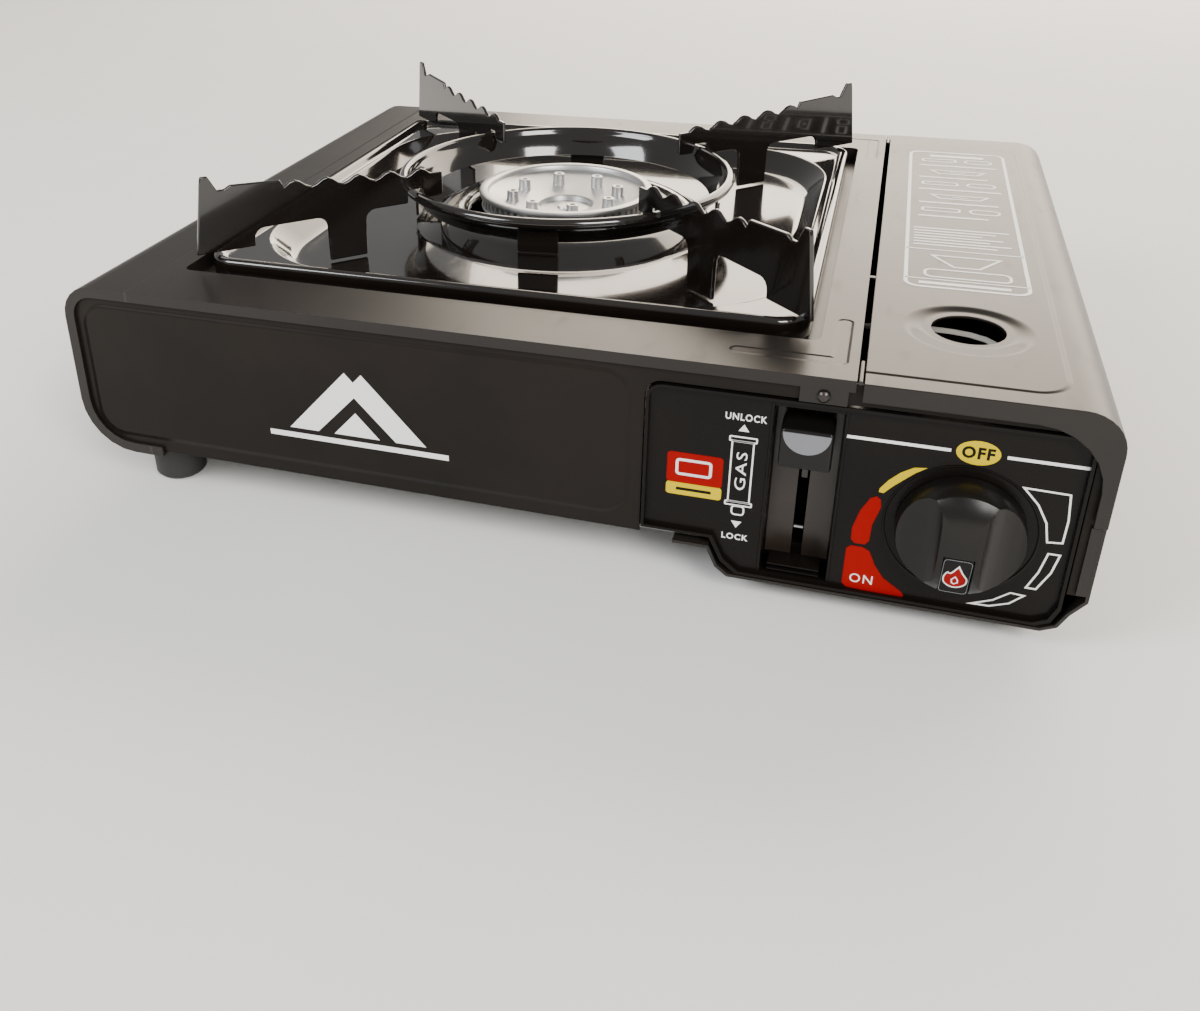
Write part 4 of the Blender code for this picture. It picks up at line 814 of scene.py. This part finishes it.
@dataclass
class PanSupport:
    """Enamelled tray, wind ring and four pan arms, which lift off together."""

    body: str = "pan_support"
    wall: float = 0.8 * MM
    roll: float = 2.05
    legs: int = 4
    leg_half: float = 7.7

    def build(self) -> None:
        """Build and dress the support."""
        self.build_tray()
        self.build_ring()
        for place in CORNERS:
            refined(f"pan_arm_{place}", ENAMEL, 0.5 * MM, 3, 28.0)

    def build_tray(self) -> None:
        """The tray, lofted from its rolled rim through the sunk well to the burner's boss."""
        low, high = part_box("drip_tray")
        middle = (low + high) / 2
        half = (high.x - low.x) / 2 / MM
        rim = high.z
        # half width, corner radius and height below the rim, in millimetres
        sections = [
            (half - 0.1, 12.0, -8.2), (half - 0.1, 12.0, -3.0), (half - 0.1, 12.0, -1.5),
            (half - 0.5, 11.7, -0.6), (half - 1.5, 11.0, -0.1), (half - 2.6, 10.3, -0.2),
            (half - 3.6, 9.8, -1.0), (half - 4.3, 9.4, -2.0), (half - 5.0, 9.2, -2.4),
            (half - 6.3, 43.8, -2.5), (half - 6.9, 43.6, -2.6), (half - 7.8, 43.2, -3.2),
            (half - 9.0, 42.4, -4.8), (half - 13.0, 40.4, -9.2), (half - 14.4, 39.6, -10.4),
            (half - 16.5, 38.8, -10.9), (half - 19.0, 38.0, -11.0),
            (62.5, 62.4, -11.05), (61.2, 61.1, -10.9), (60.0, 59.9, -10.3), (58.4, 58.3, -9.2),
            (52.6, 52.5, -5.6), (50.8, 50.7, -4.7), (48.6, 48.5, -4.1), (46.0, 45.9, -3.8),
            (43.0, 42.9, -3.9), (41.0, 40.9, -4.4), (39.9, 39.8, -5.2), (39.3, 39.2, -7.2),
        ]
        work = bmesh.new()
        loops = []
        for reach, corner, height in sections:
            outline = rounded((-reach, -reach), (reach, reach), corner, 14)
            points = [work.verts.new((middle.x + u * MM, middle.y + v * MM, rim + height * MM))
                      for u, v in outline]
            loops.append([work.edges.new((points[index - 1], points[index])) for index in range(len(points))])
        for outer, inner in zip(loops, loops[1:]):
            bmesh.ops.bridge_loops(work, edges=outer + inner)
        tray = settle("drip_tray.shown", work, self.body, ENAMEL, ("drip_tray",), 60.0)
        skin = tray.modifiers.new("wall", "SOLIDIFY")
        skin.thickness = self.wall
        skin.offset = -1.0 if self.faces_up(tray) else 1.0

    @staticmethod
    def faces_up(piece: bpy.types.Object) -> bool:
        """Whether most of a piece's area faces upwards."""
        return sum(face.normal.z * face.area for face in piece.data.polygons) > 0

    def build_ring(self) -> None:
        """The ring's funnel with a rolled rim, and its four legs."""
        low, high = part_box("wind_ring")
        centre = (low + high) / 2
        rim = high.z / MM
        floor = low.z / MM
        roll = self.roll
        bead = [(66.9 + roll * math.cos(math.radians(turn)), rim - roll + roll * math.sin(math.radians(turn)))
                for turn in range(-60, 200, 20)]
        funnel = [(64.2, rim - 3.2), (62.4, rim - 5.4), (60.6, rim - 8.4), (59.6, rim - 10.6),
                  (59.3, rim - 11.2), (59.9, rim - 11.5), (60.5, rim - 11.2), (61.6, rim - 8.9),
                  (63.6, rim - 5.8), (65.6, rim - 4.0)]
        profile = [(r * MM, z * MM) for r, z in [*bead, *funnel]]
        work = bmesh.new()
        lathe(work, [*profile, profile[0]], Vector((centre.x, centre.y, 0.0)), steps=128)
        half = self.leg_half
        for index in range(self.legs):
            turn = Euler((0, 0, math.radians(90 * index + 6))).to_matrix()
            plane = Plane(Vector((centre.x, centre.y, 0.0)) + turn @ Vector((0, -61.9 * MM, 0)),
                          turn @ Vector((1, 0, 0)), Vector((0, 0, 1)))
            outline = [(-half, floor), (half, floor), (half, rim - 5.0), (-half, rim - 5.0)]
            plane.slab(work, [(u * MM, v * MM) for u, v in outline], 0.0, 1.2 * MM, 0.3 * MM)
            step = [(-half, floor + 6.0), (half, floor + 6.0), (half, floor + 7.2), (-half, floor + 7.2)]
            plane.slab(work, [(u * MM, v * MM) for u, v in step], 1.0 * MM, 1.7 * MM, 0.25 * MM)
        settle("wind_ring.shown", work, self.body, ENAMEL, ("wind_ring",), 50.0)


# ---------------------------------------------------------------- burner


@dataclass
class Burner:
    """The cast burner: slotted head with a dished top and eight posts, cup, stand and gas path."""

    body: str = "casing"
    slots: int = 64
    posts: int = 8
    post_circle: float = 22.0
    rim: float = 36.0

    def build(self) -> None:
        """Build and dress the burner and what feeds it."""
        low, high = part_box("burner_head")
        centre = (low + high) / 2
        metal = TurnedMetal("burner_metal", (centre.x, centre.y), (0.62, 0.62, 0.62), 0.40)
        self.build_head(Vector((centre.x, centre.y, high.z)), metal, low.z)
        refined("burner_cup", metal, 0.3 * MM)
        refined("burner_stand", SHEET)
        refined("mixing_tube", SHEET)
        refined("nozzle", BRASS)
        refined("gas_pipe", BRASS)
        refined("igniter_electrode", CERAMIC, 0.1 * MM)
        refined("ignition_wire", SLEEVE)
        refined("heat_plate", SHEET)

    def build_head(self, top: Vector, metal: TurnedMetal, seat: float) -> None:
        """The head, its comb of slots and its posts.

        Args:
            top: middle of the rim's upper face.
            metal: its finish.
            seat: height of its underside.
        """
        rim = self.rim
        foot = (seat - top.z) / MM
        profile = [(0.0, -8.2), (3.0, -8.2), (3.4, -9.0), (10.8, -9.4), (11.4, -7.6), (12.2, -7.2),
                   (20.0, -5.6), (28.5, -3.4), (31.4, -2.6), (32.0, -2.2), (32.3, -0.7), (32.8, -0.15),
                   (33.6, 0.0),
                   (rim - 0.8, 0.0), (rim - 0.2, -0.3), (rim, -0.9), (rim - 0.1, -1.8), (rim - 0.5, -2.2),
                   (32.4, -2.4), (32.2, -6.0), (rim - 1.4, -6.3), (rim - 0.9, -6.8), (rim - 1.0, -7.6),
                   (rim - 2.4, -8.2), (31.5, foot + 1.5), (30.0, foot), (0.0, foot)]
        work = bmesh.new()
        lathe(work, [(r * MM, z * MM) for r, z in profile], top, steps=128)
        for index in range(self.slots):
            turn = Euler((0, 0, 2 * math.pi * index / self.slots)).to_matrix()
            across = turn @ Vector((0, 1, 0))
            plane = Plane(top + turn @ Vector((32.0 * MM, 0, 0)), across, Vector((0, 0, 1)))
            tooth = [(-0.85, -6.6), (0.85, -6.6), (0.85, -2.1), (-0.85, -2.1)]
            plane.slab(work, [(u * MM, v * MM) for u, v in tooth], 0.0, 2.7 * MM)
        for index in range(self.posts):
            angle = 2 * math.pi * (index + 0.5) / self.posts
            foot_at = top + Vector((math.cos(angle), math.sin(angle), 0)) * self.post_circle * MM
            post = [(0.0, -3.4), (0.9, -3.3), (1.0, -0.95), (1.25, -0.7), (2.1, -0.7), (2.4, -0.95),
                    (2.6, -5.4), (3.2, -6.6)]
            lathe(work, [(r * MM, z * MM) for r, z in post], foot_at, steps=20)
        settle("burner_head.shown", work, self.body, metal, ("burner_head",), 40.0)


# ---------------------------------------------------------------- canister bay


@dataclass
class Bay:
    """Cradles, regulator and its fittings in the canister bay."""

    def build(self) -> None:
        """Dress the bay's pieces."""
        for node in ("cradle_front", "cradle_rear", "regulator_bracket"):
            refined(node, SHEET, 0.1 * MM)
        refined("regulator_body", CASTING, 0.5 * MM)
        refined("regulator_cap", DARK_STEEL, 0.4 * MM)
        refined("valve_seal", RUBBER)
        refined("piezo_igniter", PLASTIC, 0.5 * MM)
        refined("collar_fork", ZINC, 0.2 * MM)
        refined("valve_spindle", BRASS, 0.2 * MM)
        refined("lock_lever", DARK_STEEL, 0.2 * MM)


# ---------------------------------------------------------------- control panel


@dataclass
class ControlPanel:
    """The panel's moulding and prints, the lever's cap and the knob."""

    datum: Datum
    face: float = 2.0
    insert_lean: float = 16

    def build(self) -> None:
        """Build and dress the panel."""
        refined("control_panel", PLASTIC, 0.25 * MM, flat=False)
        plane = self.datum.front_plane(self.face * MM)
        self.build_prints(plane)
        self.build_fittings(plane)
        self.build_cap()
        self.build_knob()

    def build_prints(self, plane: Plane) -> None:
        """Switch positions, flame scale, canister sign and the small sticker."""
        white = Print(plane)
        white.bar(270.6, 62.5, 299.4, 63.5)
        white.bar(314.4, 62.5, 336.4, 63.5)
        white.letters("UNLOCK", (241.4, 64.6), (12.4, 2.4))
        white.letters("LOCK", (240.9, 21.8), (8.2, 2.2))
        white.fill([(239.4, 59.8), (242.6, 59.8), (241.0, 62.2)])
        white.fill([(239.4, 27.6), (242.6, 27.6), (241.0, 25.2)])
        white.band(rounded((237.6, 34.5), (244.6, 56.4), 0.5, 2), 0.5)
        white.band(rounded((236.8, 56.0), (245.4, 58.0), 0.4, 2), 0.5)
        white.band(rounded((236.8, 33.2), (245.4, 34.9), 0.4, 2), 0.5)
        white.band(rounded((239.0, 29.8), (243.2, 33.4), 1.2, 3), 0.5)
        white.letters("GAS", (241.1, 45.8), (13.4, 3.3), 90.0, 0.0)
        white.band([(319.6, 54.4), (332.7, 54.1), (333.6, 45.5), (333.4, 37.5), (328.9, 37.0), (327.6, 43.5),
                    (324.6, 49.0)], 0.55)
        white.band([(329.9, 33.8), (333.6, 33.8), (332.2, 27.0), (329.1, 20.4), (325.8, 20.4),
                    (328.4, 26.8)], 0.55)
        white.band([(326.8, 17.9), (322.4, 18.2), (318.0, 14.6), (311.1, 11.6), (317.5, 11.8),
                    (322.8, 13.9)], 0.5)
        white.done("panel_white_print", "casing", Ink.WHITE.finish())
        red = Print(plane)
        red.fill([(282.6, 43.2), (281.4, 44.2), (279.6, 43.2), (277.2, 38.4), (275.6, 32.0), (275.7, 28.0),
                  (276.8, 26.6), (280.0, 26.7), (281.0, 28.2), (281.2, 34.0), (283.0, 40.6)])
        red.fill([(274.7, 24.4), (276.0, 25.6), (279.4, 25.6), (281.6, 24.4), (283.6, 19.8), (286.6, 15.6),
                  (292.2, 11.8), (293.2, 10.4), (292.0, 9.3), (276.0, 10.2), (274.7, 11.6)])
        red.fill(rounded((218.3, 38.6), (235.7, 49.5), 1.2, 4))
        red.done("panel_red_print", "casing", Ink.RED.finish())
        yellow = Print(plane)
        yellow.fill([(294.0, 56.1), (290.4, 55.6), (287.0, 53.4), (283.9, 50.2), (281.8, 47.0), (281.7, 45.8),
                     (283.0, 45.6), (285.6, 48.6), (288.4, 51.4), (291.0, 53.9)])
        yellow.fill(rounded((218.3, 34.2), (235.7, 38.7), 1.0, 4))
        yellow.fill([(306.7 + 6.0 * math.cos(turn / 12 * math.pi), 63.2 + 3.9 * math.sin(turn / 12 * math.pi))
                     for turn in range(24)])
        yellow.done("panel_yellow_print", "casing", Ink.YELLOW.finish())
        over = Print(plane, 0.10 * MM, 0.15 * MM)
        over.letters("OFF", (306.7, 63.2), (8.8, 3.9), weight=0.035)
        over.bar(221.5, 35.9, 232.5, 36.9)
        over.done("panel_black_print", "casing", Ink.BLACK.finish())
        upper = Print(plane, 0.10 * MM, 0.15 * MM)
        upper.letters("ON", (280.2, 14.0), (6.8, 3.2), weight=0.0)
        upper.band(rounded((221.0, 41.4), (232.4, 47.4), 1.2, 3), 0.9)
        upper.done("panel_on_print", "casing", Ink.SILVER.finish())

    def build_fittings(self, plane: Plane) -> None:
        """The raised ring around the knob, and the lever channel's ledges, ribs and pin, with a lighter floor
        plate that paints the glare on the channel's shaded floor.
        """
        low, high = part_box("knob")
        work = bmesh.new()
        ring = [(21.0, 0.0), (21.1, 0.35), (21.4, 0.45), (21.7, 0.35), (21.8, 0.0)]
        lathe(work, [(r * MM, z * MM) for r, z in [*reversed(ring), ring[-1]]],
              Vector(((low.x + high.x) / 2, plane.origin.y, (low.z + high.z) / 2)), Vector((0, -1, 0)), 96)
        for height in (11.2, 13.2):
            ledge = [(251.5 * MM, height * MM), (267.5 * MM, height * MM),
                     (267.5 * MM, (height + 0.6) * MM), (251.5 * MM, (height + 0.6) * MM)]
            plane.slab(work, ledge, -8.0 * MM, -0.6 * MM, 0.15 * MM)
        for left, right in ((248.5, 249.4), (269.8, 270.7)):
            rib = [(left * MM, 11.5 * MM), (right * MM, 11.5 * MM), (right * MM, 72.0 * MM),
                   (left * MM, 72.0 * MM)]
            plane.slab(work, rib, -0.2 * MM, 0.5 * MM, 0.3 * MM)
        settle("panel_fittings", work, "casing", PLASTIC)
        # A lighter plate laid over the channel's floor: painted glare where the deep channel is in shade.
        floor = bmesh.new()
        for left, right in ((249.8, 257.9), (261.3, 269.4)):
            outline = [(left, 12.0), (right, 12.0), (right, 69.0), (left, 69.0)]
            plane.slab(floor, [(u * MM, v * MM) for u, v in outline], -10.48 * MM, -10.1 * MM, 0.1 * MM)
        settle("channel_floor_painted_glare", floor, "casing", CHANNEL_PAINTED_GLARE)
        pin = bmesh.new()
        lathe(pin, [(0.0, -1.4 * MM), (0.6 * MM, -1.4 * MM), (0.6 * MM, 1.4 * MM), (0.0, 1.4 * MM)],
              plane.at(259.6 * MM, 22.8 * MM, -10.2 * MM), Vector((1, 0, 0)), 16)
        settle("channel_pin", pin, "casing", ZINC)

    def build_cap(self) -> None:
        """The lever's cap with its grey thumb face."""
        refined("lever_cap", KNOB_PLASTIC, 0.3 * MM)
        low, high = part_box("lever_cap")
        middle = (low.x + high.x) / 2
        plane = Plane(Vector((middle, low.y, high.z - 1.0 * MM)))
        outline = [(7.0 * MM * math.cos(math.radians(turn)), 6.9 * MM * math.sin(math.radians(turn)))
                   for turn in range(180, 361, 12)]
        work = bmesh.new()
        plane.slab(work, outline, -0.3 * MM, 0.25 * MM, 0.15 * MM)
        settle("lever_thumb_face", work, "lever", GREY_PLASTIC)

    def build_knob(self) -> None:
        """The knob, its dark insert and the flame sign on it."""
        refined("knob", KNOB_PLASTIC, 0.6 * MM, 3, 25.0)
        refined("knob_insert", PLASTIC, 0.2 * MM)
        low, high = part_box("knob_insert")
        lean = Euler((math.radians(self.insert_lean), 0, 0)).to_matrix()
        up = lean @ Vector((0, 0, 1))
        middle = (low + high) / 2
        plane = Plane(middle + Vector((1, 0, 0)).cross(up) * 0.62 * MM, Vector((1, 0, 0)), up)
        flame = soften([(0.4, 4.6), (-0.5, 2.9), (-1.4, 1.4), (-2.2, 1.7), (-3.0, -0.2), (-2.7, -2.6),
                        (-1.0, -4.1), (1.0, -4.1), (2.8, -2.6), (3.0, -0.4), (2.2, 1.0), (1.5, 2.2),
                        (0.4, 4.6)], 3)[:-1]
        red = Print(plane, 0.0, 0.08 * MM)
        red.fill(flame)
        red.done("knob_flame", "knob", Ink.RED.finish())
        white = Print(plane, 0.0, 0.12 * MM)
        white.band([(u * 1.12, v * 1.12) for u, v in flame], 0.42)
        white.band([(0.0, 0.4), (-1.1, -1.2), (-0.8, -2.8), (0.0, -3.3), (1.1, -2.4), (0.9, -1.0)], 0.36)
        white.done("knob_flame_edge", "knob", Ink.WHITE.finish())
        edge = Print(plane, 0.0, 0.06 * MM)
        edge.band(rounded((-3.9, -7.2), (3.9, 7.2), 1.2, 3), 0.16)
        edge.done("knob_insert_edge", "knob", GREY_PLASTIC)


# ---------------------------------------------------------------- studio


@dataclass
class Studio:
    """Pale floor, soft lights and the camera."""

    camera_place: tuple[float, float, float] = (0.0983, -0.44695, 0.2310)
    camera_turn: tuple[float, float, float] = (64.0, 1.09, 18.58)
    lens: float = 34.65
    shift: tuple[float, float] = (0.0885, -0.113)

    def build(self) -> None:
        """Set up the studio."""
        self.build_floor()
        self.build_world()
        self.add_panel("rear_panel_light", (0.55, 2.0, 1.05), (0.0, 0.0, 0.05), (3.1, 1.9), 118.0,
                       (1.0, 0.87, 0.71))
        self.add_panel("right_panel_light", (1.2, -1.5, 1.4), (0.1, 0.0, 0.05), (0.9, 0.9), 50.0,
                       (1.0, 0.97, 0.93))
        self.add_panel("left_panel_light", (-1.3, -1.3, 1.3), (0.0, 0.0, 0.05), (0.9, 0.9), 34.0,
                       (0.96, 0.98, 1.0))
        self.build_camera()

    def build_floor(self) -> None:
        """A large pale floor."""
        work = bmesh.new()
        bmesh.ops.create_grid(work, x_segments=1, y_segments=1, size=6.0)
        mesh = bpy.data.meshes.new("floor")
        work.to_mesh(mesh)
        work.free()
        floor = bpy.data.objects.new("floor", mesh)
        mesh.materials.append(Finish("floor_paper", (0.86, 0.86, 0.85), (0.85, 0.85, 0.84), 0.85).material())
        bpy.context.scene.collection.objects.link(floor)

    def build_world(self) -> None:
        """Even pale surroundings."""
        world = bpy.data.worlds.new("studio")
        world.use_nodes = True
        ground = world.node_tree.nodes["Background"]
        ground.inputs["Color"].default_value = (1.0, 0.985, 0.96, 1.0)
        ground.inputs["Strength"].default_value = 0.42
        bpy.context.scene.world = world

    @staticmethod
    def add_panel(name: str, place: tuple[float, float, float], aim: tuple[float, float, float],
                  size: tuple[float, float], power: float, colour: Colour) -> None:
        """A soft rectangular light.

        Args:
            name: its name.
            place: where it hangs.
            aim: the point that it faces.
            size: width and height.
            power: watts.
            colour: light colour.
        """
        light = bpy.data.lights.new(name, "AREA")
        light.shape = "RECTANGLE"
        light.size, light.size_y = size
        light.energy = power
        light.color = colour
        lamp = bpy.data.objects.new(name, light)
        lamp.location = place
        lamp.rotation_euler = (Vector(aim) - Vector(place)).to_track_quat("-Z", "Y").to_euler()
        bpy.context.scene.collection.objects.link(lamp)

    def build_camera(self) -> None:
        """The camera at the front, right of the middle and a little above."""
        data = bpy.data.cameras.new("camera")
        data.lens = self.lens
        data.sensor_width = 36.0
        data.shift_x, data.shift_y = self.shift
        data.clip_start = 0.01
        camera = bpy.data.objects.new("camera", data)
        camera.location = self.camera_place
        camera.rotation_euler = Euler([math.radians(turn) for turn in self.camera_turn])
        bpy.context.scene.collection.objects.link(camera)
        bpy.context.scene.camera = camera


def main() -> None:
    """Build the stove sub-assembly by sub-assembly."""
    logging.basicConfig(level=logging.INFO, format="%(name)s: %(message)s")
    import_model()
    datum = Datum.of_casing()
    for part in (Studio(), Casing(datum), Lid(datum), PanSupport(), Burner(), Bay(), ControlPanel(datum)):
        part.build()
        LOG.info("built %s", type(part).__name__)


if __name__ == "__main__":
    main()
